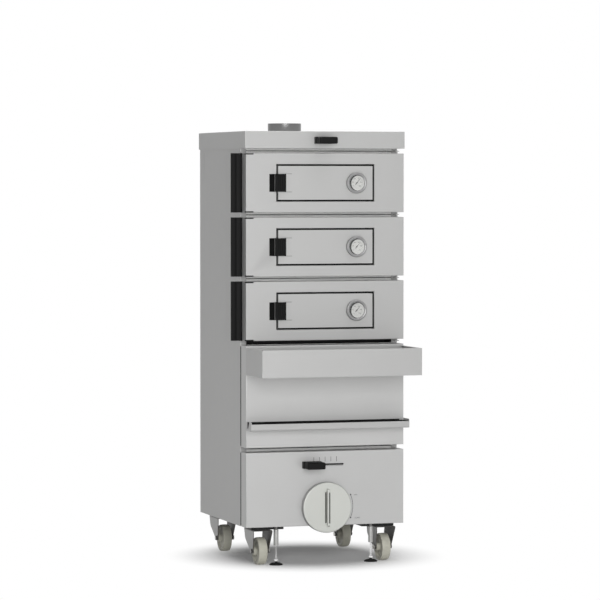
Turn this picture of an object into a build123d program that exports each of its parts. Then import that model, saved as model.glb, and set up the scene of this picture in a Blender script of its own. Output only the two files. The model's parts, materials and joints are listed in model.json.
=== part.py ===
from build123d import *
from math import cos, radians, sin
import os

os.makedirs("parts", exist_ok=True)

# Body, doors and drawer fronts (millimetres)
body_width = 600.0
cabinet_depth = 529.5        # behind the front plane of the cabinet
front_depth = 63.0           # thickness of the doors and drawer fronts
seam_gap = 11.0              # between the fronts and the cabinet
front_gap = 17.5             # between one front and the next
door_height = 213.5
fire_front_height = 368.0
ash_front_height = 270.5
floor_play = 0.5             # under the ash drawer's front
cap_height = 62.0
cap_overhang = 3.5           # past the sides and the back
cap_rest = 15.0              # width on which the cap lies on the side panels
sheet = 1.5                  # outer panels
plate = 2.0                  # inner casings and frames
bend_radius = 2.5            # outer folds
side_flange = 22.0           # folded edges of the side panels
floor_edge = 20.0            # upturned edge of the floor pan

# Chambers, casings and frames
frame_gap = 3.0              # seam between one front frame and the next
frame_side_gap = 1.0         # between the frames and the side panels
frame_bar = 20.0             # height of the frames above and below their openings
frame_post = 28.0            # width of the frames beside their openings
frame_edge = 1.0             # past the fronts beside the slot and at the floor
casing_inset = 40.0          # of the casings from the sides of the body
casing_back_gap = 57.5       # between the casings and the back of the body
board_play = 1.0             # between the top insulation board and the flue duct
chamber_headroom = 14.0      # between the top frame's opening and the casing's top
throat_width = 380.0
throat_depth = 260.0
throat_back = 60.0           # from the casing's back to the throat
slot_depth = 70.0
slot_count = 6               # draught slots in each chamber floor
slot_length = 300.0
slot_width = 14.0
slot_pitch = 45.0
gasket_play = 0.3            # between the gaskets and the closed fronts
gasket_width = 8.0
gasket_offset = 3.0          # of the doors' gaskets from the opening's edge
seal_inset = 5.0             # of the drawers' gaskets from the edge of their fronts
rail_size = 14.0             # angle rails that carry the grids
rail_length = 430.0
rail_height = 70.0           # above the chamber floor
grid_wire = 4.0
grid_rod = 6.0
grid_pitch = 25.0
grid_play = 3.0              # between the grid and the casing's sides
grid_depth = 400.0
grid_front = 30.0            # from the casing's front to the grid

# Flue and its damper
flue_diameter = 125.0
flue_wall = 2.0
duct_wall = 1.0
flue_rise = 36.0             # above the cap
flue_from_back = 110.0       # from the back edge of the cap
flue_flange = 12.5
collar_play = 1.0            # between the collar and the cap
damper_height = 29.0         # of the blade above the cap's lower edge
damper_offset = -9.0         # of the grip from the middle plane
blade_margin = 12.5          # past the duct on each side
blade_thickness = 3.0
blade_play = 0.5
blade_travel = 110.0
damper_rod_radius = 4.0
guide_lip = 8.0

# Outer doors, their hinges and grips
hinge_inset = 8.0            # of the pins from the door's right and back faces
pin_radius = 3.0
pin_play = 0.05
pin_depth = 14.0             # in the door
boss_radius = 7.5
bracket_thickness = 2.5
grip_width = 41.0
grip_thickness = 18.0
grip_round = 7.0
grip_groove_radius = 14.0
grip_groove_depth = 2.0
notch_width = 29.0
notch_depth = 22.0
notch_height = 5.0

# Inspection doors, latches and thermometers
hatch_width = 373.0
hatch_height = 136.0
hatch_gap = 5.0
leaf_thickness = 20.0
leaf_seat = 0.5              # between the leaf and the lip behind it
lip_width = 15.0
leaf_pin_radius = 2.5
leaf_pin_depth = 9.0
leaf_boss_radius = 6.0
pocket_width = 26.0
pocket_height = 64.5
latch_width = 38.0
latch_height = 64.0
latch_rise = 12.0
latch_overlap = 9.0          # of the latch over the finger pocket
latch_plate_width = 27.0
latch_plate_thickness = 1.0
thermometer_radius = 38.0
thermometer_rise = 12.0
thermometer_bezel = 9.0
thermometer_from_middle = 117.0
dial_recess = 5.0
dial_thickness = 0.8
stem_radius = 3.0
stem_length = 105.0
stem_play = 0.3
needle_length = 22.0
needle_tail = 8.0
needle_width = 2.4
needle_thickness = 0.6
needle_angle = 50.0          # of the pointer from level, at rest
needle_hub = 2.5
needle_pin_radius = 0.8
needle_play = 0.4

# Fire drawer with its shelf and handle
shelf_depth = 200.0
shelf_height = 97.5
shelf_drop = 6.5             # of the shelf's rim below the front's top edge
shelf_rim = 12.0
handle_depth = 64.0
handle_height = 24.0
handle_z_offset = 65.5       # of the handle's bottom above the front's lower edge
handle_sheet = 2.0
handle_round = 6.0
end_rise = 8.0               # of the handle's end plates above its front edge
end_flange = 13.0            # fold of the right end plate on the front
cutout_front = 38.0          # the left end plate's cutout, from the front panel
cutout_back = 6.0
cutout_slope = 14.0          # of its front side
cutout_taper = 5.0           # of its back side
cutout_floor = 6.0           # above the handle's bottom
drawer_side_gap = 4.0        # between the drawers and the openings
basket_height = 150.0
basket_length = 436.0
basket_lift = 10.0           # above the opening's lower edge
grate_bar = 8.0
grate_pitch = 24.0
grate_height = 10.0
runner_height = 18.0
runner_ledge = 22.0
slide_play = 0.3

# Ash drawer, air slider and rotary valve
pan_height = 120.0
pan_length = 430.0
pan_lift = 26.0              # above the floor pan's underside
air_window_width = 440.0
air_window_height = 80.0
air_window_drop = 30.0       # below the ash front's top edge
valve_height = 67.5          # of the knob's centre above the ash front's lower edge
knob_radius = 92.0
knob_thickness = 22.0
knob_stand = 3.0
knob_wall = 4.0
knob_round = 5.0
rib_length = 136.0
rib_width = 9.0
rib_rise = 19.0
shaft_radius = 6.0
shaft_play = 0.05
shaft_boss_radius = 11.0
shaft_boss_rise = 10.0
valve_ports = 4
port_inner_radius = 25.0
port_outer_radius = 56.0
port_angle = 44.0
rotor_radius = 63.0
rotor_play = 0.4
air_slot_height = 5.7
air_slot_length = 139.0
air_slot_z = 222.5           # above the ash front's lower edge
slider_stem_width = 24.0
slider_stem_play = 0.3
shutter_width = 140.0
shutter_height = 40.0
shutter_play = 0.3

# The grip of the air slider and the damper, a ribbed block
block_length = 68.0
block_height = 25.0
block_front = 40.0
block_back = 25.0
block_neck = 5.0
block_neck_height = 15.0
block_stand = 1.0
block_round = 3.0

# Casters and levelling feet
wheel_radius = 50.0
wheel_width = 32.0
wheel_crown = 1.5
wheel_round = 2.0            # of the tread's edges
wheel_dish = 5.0
wheel_rim = 9.0
hub_radius = 15.0
hub_width = 50.0
axle_radius = 5.0
axle_play = 0.05
axle_head = 4.0
caster_height = 128.0
fork_width = 74.0
fork_foot_width = 58.0
fork_length = 112.0
fork_skirt = 36.0            # height of the fork's straight edge at the back
fork_lip = 8.0               # height of its straight edge in front
fork_corner = 20.0
fork_sheet = 3.0
fork_tip = 10.0              # half the width of the fork's tip
fork_drop = 8.0              # below the axle
fork_boss_radius = 9.0
trail = 16.0                 # of the axle in front of the swivel
kingpin_radius = 8.0
bearing_gap = 0.3
bar_thickness = 11.0
bar_inset = 28.0
bar_length = 122.0
bar_depth = 90.0
bar_reach = 34.0             # of the bars in front of the kingpins
caster_from_side = 65.0
front_caster_y = 64.0        # behind the front plane of the doors
rear_caster_from_back = 84.5
foot_from_side = 119.0
foot_lead = 8.0              # of the feet before the mounting bars
foot_neck = 8.0
sleeve_radius = 9.0
sleeve_length = 57.0
foot_rod_radius = 5.0
foot_rod_play = 0.05
foot_travel = 25.0
pad_radius = 24.5
pad_height = 9.0
pad_edge = 3.0
pad_hub = 8.0

# Planes and levels: X from left to right, Y from front to back, Z up from the floor
mid_x = (grip_width - cap_overhang) / 2
front_y = (shelf_depth - front_depth - seam_gap - cabinet_depth - cap_overhang) / 2
left_x = mid_x - body_width / 2
right_x = mid_x + body_width / 2
front_back = front_y + front_depth
plane_y = front_back + seam_gap
back_y = plane_y + cabinet_depth
bottom_z = caster_height + bar_thickness
ash_z = bottom_z + floor_play
ash_top_z = ash_z + ash_front_height
fire_z = ash_top_z + front_gap
fire_top_z = fire_z + fire_front_height
door_pitch = door_height + front_gap
door_names = ["lower", "middle", "upper"]
door_levels = [fire_top_z + front_gap + i * door_pitch for i in range(len(door_names))]
cap_z = door_levels[-1] + door_pitch
cap_top_z = cap_z + cap_height
flue_y = back_y + cap_overhang - flue_from_back
damper_z = cap_z + damper_height
damper_x = mid_x + damper_offset
hinge_x = right_x - hinge_inset
hinge_y = front_y + front_depth - hinge_inset
gasket_front = front_back + gasket_play
casing_left = left_x + casing_inset
casing_right = right_x - casing_inset
casing_front = plane_y + plate
casing_back = back_y - casing_back_gap
frame_left = left_x + side_flange + frame_side_gap
frame_right = right_x - side_flange - frame_side_gap
opening_left = frame_left + frame_post
opening_right = frame_right - frame_post

# The frames run from seam to seam: each level is one frame's lower and upper edge
frame_levels = [
    (bottom_z + floor_edge / 4, ash_top_z + front_gap / 2 - frame_gap / 2),
    (ash_top_z + front_gap / 2 + frame_gap / 2, fire_top_z + frame_edge),
]
for index, level in enumerate(door_levels):
    low = level - frame_edge if index == 0 else level - front_gap / 2 + frame_gap / 2
    frame_levels.append((low, level + door_height + front_gap / 2 - frame_gap / 2))
openings = [(low + frame_bar, high - frame_bar) for low, high in frame_levels]
fire_opening = openings[1]
casing_top = openings[-1][1] + chamber_headroom
fire_casing_top = frame_levels[1][1]
chamber_casing_z = frame_levels[2][0]


def slab(x, y, z, mode=Mode.ADD):
    # A block between two values on each axis
    with BuildSketch(Plane.XY.offset(z[0])) as plan:
        with Locations(((x[0] + x[1]) / 2, (y[0] + y[1]) / 2)):
            Rectangle(x[1] - x[0], y[1] - y[0])
    extrude(plan.sketch, amount=z[1] - z[0], mode=mode)


def rod(radius, start, end, mode=Mode.ADD):
    # A round bar between two points
    axis = Vector(*end) - Vector(*start)
    with BuildSketch(Plane(origin=start, z_dir=axis)) as section:
        Circle(radius)
    extrude(section.sketch, amount=axis.length, mode=mode)


def save(part, name):
    part.label = name
    export_step(part, "parts/" + name + ".step")


def save_group(parts, name):
    save(Compound(children=list(parts)), name)


# Cabinet shell: a folded C panel on each side
with BuildPart() as side_panel_left:
    with BuildSketch(Plane.XY.offset(bottom_z)) as side_fold:
        with Locations((left_x, plane_y)):
            Rectangle(side_flange, cabinet_depth, align=(Align.MIN, Align.MIN))
        fillet(side_fold.vertices().group_by(Axis.X)[0], bend_radius)
        with Locations((left_x + sheet, plane_y + sheet)):
            Rectangle(side_flange, cabinet_depth - 2 * sheet,
                      align=(Align.MIN, Align.MIN), mode=Mode.SUBTRACT)
    extrude(amount=cap_z - bottom_z)
    slab((left_x + sheet, left_x + side_flange), (plane_y + sheet, back_y - sheet), (cap_z - sheet, cap_z))
save(side_panel_left.part, "side_panel_left")

with BuildPart() as side_panel_right:
    mirror(side_panel_left.part, about=Plane.YZ.offset(mid_x))
save(side_panel_right.part, "side_panel_right")

with BuildPart() as back_panel:
    slab((left_x + sheet, right_x - sheet), (back_y - 2 * sheet, back_y - sheet), (bottom_z, cap_z - sheet))
save(back_panel.part, "back_panel")

with BuildPart() as floor_pan:
    slab((left_x + sheet, right_x - sheet), (plane_y + plate, back_y - 2 * sheet),
         (bottom_z, bottom_z + floor_edge))
    slab((left_x + sheet + plate, right_x - sheet - plate), (plane_y, back_y - 2 * sheet - plate),
         (bottom_z + plate, bottom_z + floor_edge), Mode.SUBTRACT)
save(floor_pan.part, "floor_pan")

# The cap is a deep tray turned over, with a folded edge that lies on the cabinet
with BuildPart() as top_cap:
    slab((left_x - cap_overhang, right_x + cap_overhang), (front_y, back_y + cap_overhang),
         (cap_z, cap_top_z))
    fillet(top_cap.edges().filter_by(Axis.Z) + top_cap.faces().sort_by(Axis.Z)[-1].edges(), bend_radius)
    slab((left_x - cap_overhang + sheet, right_x + cap_overhang - sheet),
         (front_y + sheet, back_y + cap_overhang - sheet), (cap_z + sheet, cap_top_z - sheet), Mode.SUBTRACT)
    slab((left_x + cap_rest, right_x - cap_rest), (plane_y + cap_rest, back_y - cap_rest),
         (cap_z, cap_z + sheet), Mode.SUBTRACT)
    rod(flue_diameter / 2 + collar_play, (mid_x, flue_y, cap_z), (mid_x, flue_y, cap_top_z), Mode.SUBTRACT)
    rod(damper_rod_radius + blade_play, (damper_x, front_y, damper_z),
        (damper_x, front_y + sheet, damper_z), Mode.SUBTRACT)
save(top_cap.part, "top_cap")

# Flue: the collar hangs from the cap by its flange, and the duct below it carries the blade's guides
blade_bottom = damper_z - blade_thickness / 2
blade_top = damper_z + blade_thickness / 2
flue_bore = flue_diameter / 2 - flue_wall
duct_radius = flue_bore + duct_wall
with BuildPart() as flue_collar:
    with BuildSketch(Plane.XY.offset(blade_top + blade_play)):
        with Locations((mid_x, flue_y)):
            Circle(duct_radius)
            Circle(flue_bore, mode=Mode.SUBTRACT)
    extrude(amount=cap_top_z - sheet - blade_top - blade_play)
    with BuildSketch(Plane.XY.offset(cap_top_z - sheet - plate)):
        with Locations((mid_x, flue_y)):
            Circle(flue_diameter / 2)
            Circle(flue_bore, mode=Mode.SUBTRACT)
    extrude(amount=plate + sheet + flue_rise)
    with BuildSketch(Plane.XY.offset(cap_top_z - sheet - plate)):
        with Locations((mid_x, flue_y)):
            Circle(flue_diameter / 2 + flue_flange)
            Circle(flue_bore, mode=Mode.SUBTRACT)
    extrude(amount=plate)
save(flue_collar.part, "flue_collar")

blade_half = flue_diameter / 2 + blade_margin
guide_front = flue_y - blade_half - blade_travel - blade_play
guide_back = flue_y + blade_half + blade_play
guide_half = blade_half + blade_play + plate
with BuildPart() as flue_duct:
    slab((mid_x - guide_half, mid_x + guide_half), (guide_front, guide_back),
         (blade_bottom - blade_play - plate, blade_top + blade_play + plate))
    slab((mid_x - guide_half + plate, mid_x + guide_half - plate), (guide_front, guide_back),
         (blade_bottom - blade_play, blade_top + blade_play), Mode.SUBTRACT)
    slab((mid_x - guide_half + guide_lip, mid_x + guide_half - guide_lip), (guide_front, guide_back),
         (blade_top, blade_top + blade_play + plate), Mode.SUBTRACT)
    slab((damper_x - damper_rod_radius - plate, damper_x + damper_rod_radius + plate),
         (guide_front, flue_y - blade_half + plate),
         (blade_bottom - blade_play - plate, blade_bottom), Mode.SUBTRACT)
    rod(duct_radius, (mid_x, flue_y, casing_top), (mid_x, flue_y, blade_bottom - blade_play))
    rod(flue_bore, (mid_x, flue_y, casing_top), (mid_x, flue_y, blade_bottom), Mode.SUBTRACT)
save(flue_duct.part, "flue_duct")

# Inner casings: the fire chamber below, the cooking chambers above, joined by the throat
throat_back_y = casing_back - throat_back
throat = ((mid_x - throat_width / 2, mid_x + throat_width / 2),
          (throat_back_y - throat_depth, throat_back_y))
throat_outer = tuple((low - plate, high + plate) for low, high in throat)
fire_floor_z = fire_opening[0] - plate
with BuildPart() as fire_casing:
    slab((casing_left, casing_right), (casing_front, casing_back), (fire_floor_z, fire_casing_top))
    slab((casing_left + plate, casing_right - plate), (casing_front, casing_back - plate),
         (fire_floor_z + plate, fire_casing_top - plate), Mode.SUBTRACT)
    slab(throat[0], throat[1], (fire_floor_z, fire_floor_z + plate), Mode.SUBTRACT)
    slab(throat_outer[0], throat_outer[1], (fire_casing_top - plate, chamber_casing_z))
    slab(throat[0], throat[1], (fire_casing_top - plate, chamber_casing_z), Mode.SUBTRACT)
save(fire_casing.part, "fire_casing")

with BuildPart() as chamber_casing:
    slab((casing_left, casing_right), (casing_front, casing_back), (chamber_casing_z, casing_top))
    slab((casing_left + plate, casing_right - plate), (casing_front, casing_back - plate),
         (chamber_casing_z + plate, casing_top - plate), Mode.SUBTRACT)
    slab(throat[0], throat[1], (chamber_casing_z, chamber_casing_z + plate), Mode.SUBTRACT)
    rod(flue_bore, (mid_x, flue_y, casing_top - plate), (mid_x, flue_y, casing_top), Mode.SUBTRACT)
save(chamber_casing.part, "chamber_casing")

# A slotted floor lets the heat rise from each chamber into the next
chamber_floor_levels = [low - plate for low, high in openings[2:]]
chamber_floors = []
for index, level in enumerate(chamber_floor_levels):
    with BuildPart() as chamber_floor:
        slab((casing_left + plate, casing_right - plate), (casing_front, casing_back - plate),
             (level, level + plate))
        with BuildSketch(Plane.XY.offset(level)) as floor_slots:
            with Locations((mid_x, (throat[1][0] + throat[1][1]) / 2)):
                with GridLocations(0, slot_pitch, 1, slot_count):
                    SlotOverall(slot_length, slot_width)
        extrude(floor_slots.sketch, amount=plate, mode=Mode.SUBTRACT)
    chamber_floors.append(chamber_floor.part)
save_group(chamber_floors, "chamber_floors")

front_frames = []
for (low, high), (open_low, open_high) in zip(frame_levels, openings):
    with BuildPart() as front_frame:
        slab((frame_left, frame_right), (plane_y, plane_y + plate), (low, high))
        slab((opening_left, opening_right), (plane_y, plane_y + plate), (open_low, open_high), Mode.SUBTRACT)
    front_frames.append(front_frame.part)
save_group(front_frames, "front_frames")

# The dark slot between the fire drawer and the lowest door
with BuildPart() as slot_channel:
    slab((frame_left, frame_right), (plane_y, plane_y + slot_depth), (fire_casing_top, chamber_casing_z))
    slab((frame_left + sheet, frame_right - sheet), (plane_y, plane_y + slot_depth - sheet),
         (fire_casing_top + sheet, chamber_casing_z - sheet), Mode.SUBTRACT)
save(slot_channel.part, "slot_channel")

# Gaskets: a ring round each chamber's opening, and one behind the edges of each drawer front
seal_reach = seal_inset + gasket_width
gasket_rings = [((left_x + seal_reach, right_x - seal_reach), (low + seal_reach, high - seal_reach))
                for low, high in ((ash_z, ash_top_z), (fire_z, fire_top_z))]
gasket_rings += [((opening_left - gasket_offset, opening_right + gasket_offset),
                  (low - gasket_offset, high + gasket_offset)) for low, high in openings[2:]]
front_gaskets = []
for ring_x, ring_z in gasket_rings:
    with BuildPart() as gasket:
        slab((ring_x[0] - gasket_width, ring_x[1] + gasket_width), (gasket_front, plane_y),
             (ring_z[0] - gasket_width, ring_z[1] + gasket_width))
        slab(ring_x, (gasket_front, plane_y), ring_z, Mode.SUBTRACT)
    front_gaskets.append(gasket.part)
save_group(front_gaskets, "front_gaskets")

# Insulation fills the space between the casings and the outer panels
insulation_boards = []
for board_z in ((fire_floor_z, fire_casing_top), (chamber_casing_z, casing_top)):
    with BuildPart() as side_board:
        slab((left_x + sheet, casing_left), (casing_front, casing_back), board_z)
    insulation_boards.append(side_board.part)
    insulation_boards.append(mirror(side_board.part, about=Plane.YZ.offset(mid_x)))
with BuildPart() as back_board:
    slab((left_x + sheet, right_x - sheet), (casing_back, back_y - 2 * sheet), (fire_floor_z, casing_top))
with BuildPart() as top_board:
    slab((casing_left, casing_right), (casing_front, casing_back), (casing_top, cap_z - sheet))
    rod(duct_radius + board_play, (mid_x, flue_y, casing_top),
        (mid_x, flue_y, cap_z - sheet), Mode.SUBTRACT)
save_group(insulation_boards + [back_board.part, top_board.part], "insulation_boards")

# Angle rails on both walls of each chamber, and a wire grid on each pair
rack_rails = []
cooking_grids = []
inner_left = casing_left + plate
inner_right = casing_right - plate
for level in chamber_floor_levels:
    rail_z = level + plate + rail_height
    with BuildPart() as rail:
        slab((inner_left, inner_left + sheet), (casing_front, casing_front + rail_length),
             (rail_z - rail_size, rail_z))
        slab((inner_left, inner_left + rail_size), (casing_front, casing_front + rail_length),
             (rail_z - sheet, rail_z))
    rack_rails.append(rail.part)
    rack_rails.append(mirror(rail.part, about=Plane.YZ.offset(mid_x)))
    grid_left = inner_left + grid_play
    grid_right = inner_right - grid_play
    grid_y = casing_front + grid_front
    grid_z = rail_z + grid_rod / 2
    wire_z = grid_z + (grid_rod + grid_wire) / 2 - grid_wire / 4
    with BuildPart() as grid:
        for y in (grid_y, grid_y + grid_depth / 2, grid_y + grid_depth):
            rod(grid_rod / 2, (grid_left, y, grid_z), (grid_right, y, grid_z))
        wire_count = int((grid_right - grid_left - grid_pitch) // grid_pitch)
        with BuildSketch(Plane.XZ.offset(-grid_y + grid_rod)) as wires:
            with Locations((mid_x, wire_z)):
                with GridLocations(grid_pitch, 0, wire_count, 1):
                    RegularPolygon(grid_wire / 2, 8)
        extrude(wires.sketch, amount=-(grid_depth + 2 * grid_rod))
    cooking_grids.append(grid.part)
save_group(rack_rails, "rack_rails")
save_group(cooking_grids, "cooking_grids")

# Runners: angles on the fire casing's walls, and two on the floor pan for the ash pan
basket_z = fire_opening[0] + basket_lift
basket_left = opening_left + drawer_side_gap
basket_right = opening_right - drawer_side_gap
runner_top = basket_z - slide_play
with BuildPart() as fire_runner:
    slab((inner_left, basket_left + runner_ledge), (casing_front, casing_front + rail_length),
         (runner_top - plate, runner_top))
    slab((inner_left, inner_left + plate), (casing_front, casing_front + rail_length),
         (runner_top - plate, runner_top + runner_height))
pan_z = bottom_z + pan_lift
pan_runner_top = pan_z - slide_play
with BuildPart() as ash_runner:
    slab((basket_left - drawer_side_gap, basket_left + runner_ledge),
         (casing_front, casing_front + rail_length), (pan_runner_top - plate, pan_runner_top))
    slab((basket_left - drawer_side_gap, basket_left - drawer_side_gap + plate),
         (casing_front, casing_front + rail_length), (bottom_z + plate, pan_runner_top))
runners = [fire_runner.part, ash_runner.part]
runners += [mirror(runner, about=Plane.YZ.offset(mid_x)) for runner in runners]
save_group(runners, "drawer_runners")

# Hinge brackets in the gaps: each carries the pins of the doors above and below it
hinge_brackets = []
for index in range(len(door_levels) + 1):
    bracket_z = door_levels[0] + index * door_pitch - front_gap / 2
    with BuildPart() as bracket:
        slab((hinge_x - boss_radius, right_x), (hinge_y - boss_radius, plane_y),
             (bracket_z - bracket_thickness / 2, bracket_z + bracket_thickness / 2))
        fillet(bracket.edges().filter_by(Axis.Z).group_by(Axis.Y)[0], pin_radius)
        slab((hinge_x - boss_radius, right_x), (plane_y - bracket_thickness, plane_y),
             (bracket_z - front_gap / 3, bracket_z + front_gap / 3))
        pin_low = bracket_z if index == 0 else bracket_z - front_gap / 2 - pin_depth
        pin_high = bracket_z if index == len(door_levels) else bracket_z + front_gap / 2 + pin_depth
        rod(pin_radius, (hinge_x, hinge_y, pin_low), (hinge_x, hinge_y, pin_high))
    hinge_brackets.append(bracket.part)
save_group(hinge_brackets, "hinge_brackets")


def hinge_bore(x, y, z, length, radius, boss):
    # A boss in a hollow door with a blind bore in its outer end
    inward = 1 if length > 0 else -1
    rod(boss, (x, y, z), (x, y, z + length + inward * sheet))
    rod(radius, (x, y, z), (x, y, z + length + inward * sheet / 2), Mode.SUBTRACT)


hatch_left = mid_x - hatch_width / 2
hatch_right = mid_x + hatch_width / 2
leaf_left = hatch_left + hatch_gap
leaf_right = hatch_right - hatch_gap
leaf_hinge_x = leaf_right - hinge_inset
leaf_hinge_y = front_y + hinge_inset
thermometer_x = mid_x + thermometer_from_middle
lip_y = front_y + leaf_thickness + leaf_seat


def make_door(z):
    # A hollow door with a window for the inspection door and a finger pocket beside it
    top = z + door_height
    hatch_low = z + (door_height - hatch_height) / 2
    hatch_high = hatch_low + hatch_height
    pocket_low = z + (door_height - pocket_height) / 2
    pocket_high = pocket_low + pocket_height
    pocket_left = hatch_left - pocket_width
    back = front_y + front_depth
    with BuildPart() as door:
        slab((left_x, right_x), (front_y, back), (z, top))
        fillet(door.faces().sort_by(Axis.Y)[0].edges(), bend_radius)
        slab((left_x + sheet, right_x - sheet), (front_y + sheet, back - sheet), (z + sheet, top - sheet),
             Mode.SUBTRACT)
        slab((hatch_left - sheet, hatch_right + sheet), (front_y + sheet, back - sheet),
             (hatch_low - sheet, hatch_high + sheet))
        slab((pocket_left - sheet, hatch_left), (front_y + sheet, lip_y + sheet),
             (pocket_low - sheet, pocket_high + sheet))
        slab((hatch_left, hatch_right), (front_y, back), (hatch_low, hatch_high), Mode.SUBTRACT)
        slab((pocket_left, hatch_left), (front_y, lip_y), (pocket_low, pocket_high), Mode.SUBTRACT)
        slab((hatch_left, hatch_right), (lip_y, lip_y + sheet), (hatch_low, hatch_high))
        slab((hatch_left + lip_width, hatch_right), (lip_y, lip_y + sheet),
             (hatch_low + lip_width, hatch_high - lip_width), Mode.SUBTRACT)
        slab((leaf_hinge_x - lip_width, hatch_right), (lip_y, lip_y + sheet), (hatch_low, hatch_high),
             Mode.SUBTRACT)
        for low in (z, top - notch_height):
            slab((left_x, left_x + notch_width), (front_y, front_y + notch_depth), (low, low + notch_height),
                 Mode.SUBTRACT)
        hinge_bore(hinge_x, hinge_y, z, pin_depth, pin_radius + pin_play, boss_radius)
        hinge_bore(hinge_x, hinge_y, top, -pin_depth, pin_radius + pin_play, boss_radius)
        rod(leaf_pin_radius, (leaf_hinge_x, leaf_hinge_y, hatch_low),
            (leaf_hinge_x, leaf_hinge_y, hatch_low + hatch_gap + leaf_pin_depth))
        rod(leaf_pin_radius, (leaf_hinge_x, leaf_hinge_y, hatch_high),
            (leaf_hinge_x, leaf_hinge_y, hatch_high - hatch_gap - leaf_pin_depth))
    return door.part


def make_grip(z):
    # An extruded strip grip on the door's left side, its face hollowed along the middle
    grip_front = front_y + front_depth - grip_thickness
    with BuildPart() as grip:
        with BuildSketch(Plane.XY.offset(z)) as section:
            with Locations((left_x - grip_width / 2, grip_front + grip_thickness / 2)):
                Rectangle(grip_width, grip_thickness)
            fillet(section.vertices().group_by(Axis.X)[0], grip_round)
            fillet(section.vertices().group_by(Axis.Y)[0].sort_by(Axis.X)[-1], grip_round)
            with Locations((left_x - grip_width / 2, grip_front - grip_groove_radius + grip_groove_depth)):
                Circle(grip_groove_radius, mode=Mode.SUBTRACT)
        extrude(amount=door_height)
    return grip.part


def make_leaf(z):
    # The hollow inspection door, bored for its pins and for the thermometer's stem
    middle = z + door_height / 2
    low = middle - hatch_height / 2 + hatch_gap
    high = middle + hatch_height / 2 - hatch_gap
    back = front_y + leaf_thickness
    with BuildPart() as leaf:
        slab((leaf_left, leaf_right), (front_y, back), (low, high))
        fillet(leaf.faces().sort_by(Axis.Y)[0].edges(), sheet)
        slab((leaf_left + sheet, leaf_right - sheet), (front_y + sheet, back - sheet),
             (low + sheet, high - sheet), Mode.SUBTRACT)
        bore_radius = leaf_pin_radius + pin_play
        hinge_bore(leaf_hinge_x, leaf_hinge_y, low, leaf_pin_depth, bore_radius, leaf_boss_radius)
        hinge_bore(leaf_hinge_x, leaf_hinge_y, high, -leaf_pin_depth, bore_radius, leaf_boss_radius)
        rod(stem_radius + stem_play, (thermometer_x, front_y, middle),
            (thermometer_x, back, middle), Mode.SUBTRACT)
    return leaf.part


def make_latch(z):
    # A ribbed latch grip that laps over the finger pocket, with its mounting plate beside it
    middle = z + door_height / 2
    left = leaf_left - latch_overlap
    with BuildPart() as latch:
        with BuildSketch(Plane.XY.offset(middle - latch_height / 2)) as section:
            with Locations((left + latch_width / 2, front_y - latch_rise / 2)):
                Rectangle(latch_width, latch_rise)
            fillet(section.vertices().group_by(Axis.Y)[0], grip_round / 2)
            groove_y = front_y - latch_rise - grip_groove_radius + grip_groove_depth
            with Locations((left + latch_width / 2, groove_y)):
                Circle(grip_groove_radius, mode=Mode.SUBTRACT)
        extrude(amount=latch_height)
        slab((left + latch_width, left + latch_width + latch_plate_width),
             (front_y - latch_plate_thickness, front_y),
             (middle - latch_height / 2, middle + latch_height / 2))
    return latch.part


dial_radius = thermometer_radius - thermometer_bezel
dial_y = front_y - thermometer_rise + dial_recess


def make_thermometer(z):
    # Case with bezel and stem, and the dial plate in it with the needle's pin
    centre = (thermometer_x, z + door_height / 2)
    with BuildPart() as case:
        with BuildSketch(Plane.XZ.offset(-front_y)) as rim:
            with Locations(centre):
                Circle(thermometer_radius)
        extrude(rim.sketch, amount=thermometer_rise)
        fillet(case.faces().sort_by(Axis.Y)[0].edges(), thermometer_bezel / 3)
        with BuildSketch(Plane.XZ.offset(-dial_y - dial_thickness + dial_recess + dial_thickness)) as well:
            with Locations(centre):
                Circle(dial_radius)
        extrude(well.sketch, amount=-dial_recess - dial_thickness, mode=Mode.SUBTRACT)
        rod(stem_radius, (centre[0], front_y, centre[1]), (centre[0], front_y + stem_length, centre[1]))
    with BuildPart() as dial:
        with BuildSketch(Plane.XZ.offset(-dial_y - dial_thickness)) as face:
            with Locations(centre):
                Circle(dial_radius)
        extrude(face.sketch, amount=dial_thickness)
        rod(needle_pin_radius, (centre[0], dial_y, centre[1]),
            (centre[0], dial_y - needle_play - needle_thickness, centre[1]))
    return Compound(children=[case.part, dial.part])


def make_needle(z):
    # A tapered pointer with a counterweight tail on a hub
    centre = (thermometer_x, z + door_height / 2)
    along = Vector(cos(radians(needle_angle)), sin(radians(needle_angle)))
    across = Vector(-along.Y, along.X) * (needle_width / 2)
    hub = Vector(*centre)
    with BuildPart() as needle:
        with BuildSketch(Plane.XZ.offset(-dial_y + needle_play)):
            with BuildLine():
                Polyline(hub + along * needle_length, hub + across, hub - along * needle_tail + across,
                         hub - along * needle_tail - across, hub - across, close=True)
            make_face()
            with Locations(centre):
                Circle(needle_hub)
                Circle(needle_pin_radius + pin_play, mode=Mode.SUBTRACT)
        extrude(amount=needle_thickness)
    return needle.part


for name, level in zip(door_names, door_levels):
    save(make_door(level), "door_" + name)
    save(make_grip(level), "door_grip_" + name)
    save(make_leaf(level), "inspection_door_" + name)
    save(make_latch(level), "latch_grip_" + name)
    save(make_thermometer(level), "thermometer_" + name)
    save(make_needle(level), "needle_" + name)

# Fire drawer: hollow front, charcoal basket with a bar grate, shelf tray and folded handle
with BuildPart() as fire_front:
    slab((left_x, right_x), (front_y, front_back), (fire_z, fire_top_z))
    fillet(fire_front.faces().sort_by(Axis.Y)[0].edges(), bend_radius)
    slab((left_x + sheet, right_x - sheet), (front_y + sheet, front_back - sheet),
         (fire_z + sheet, fire_top_z - sheet), Mode.SUBTRACT)
save(fire_front.part, "fire_front")

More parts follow.
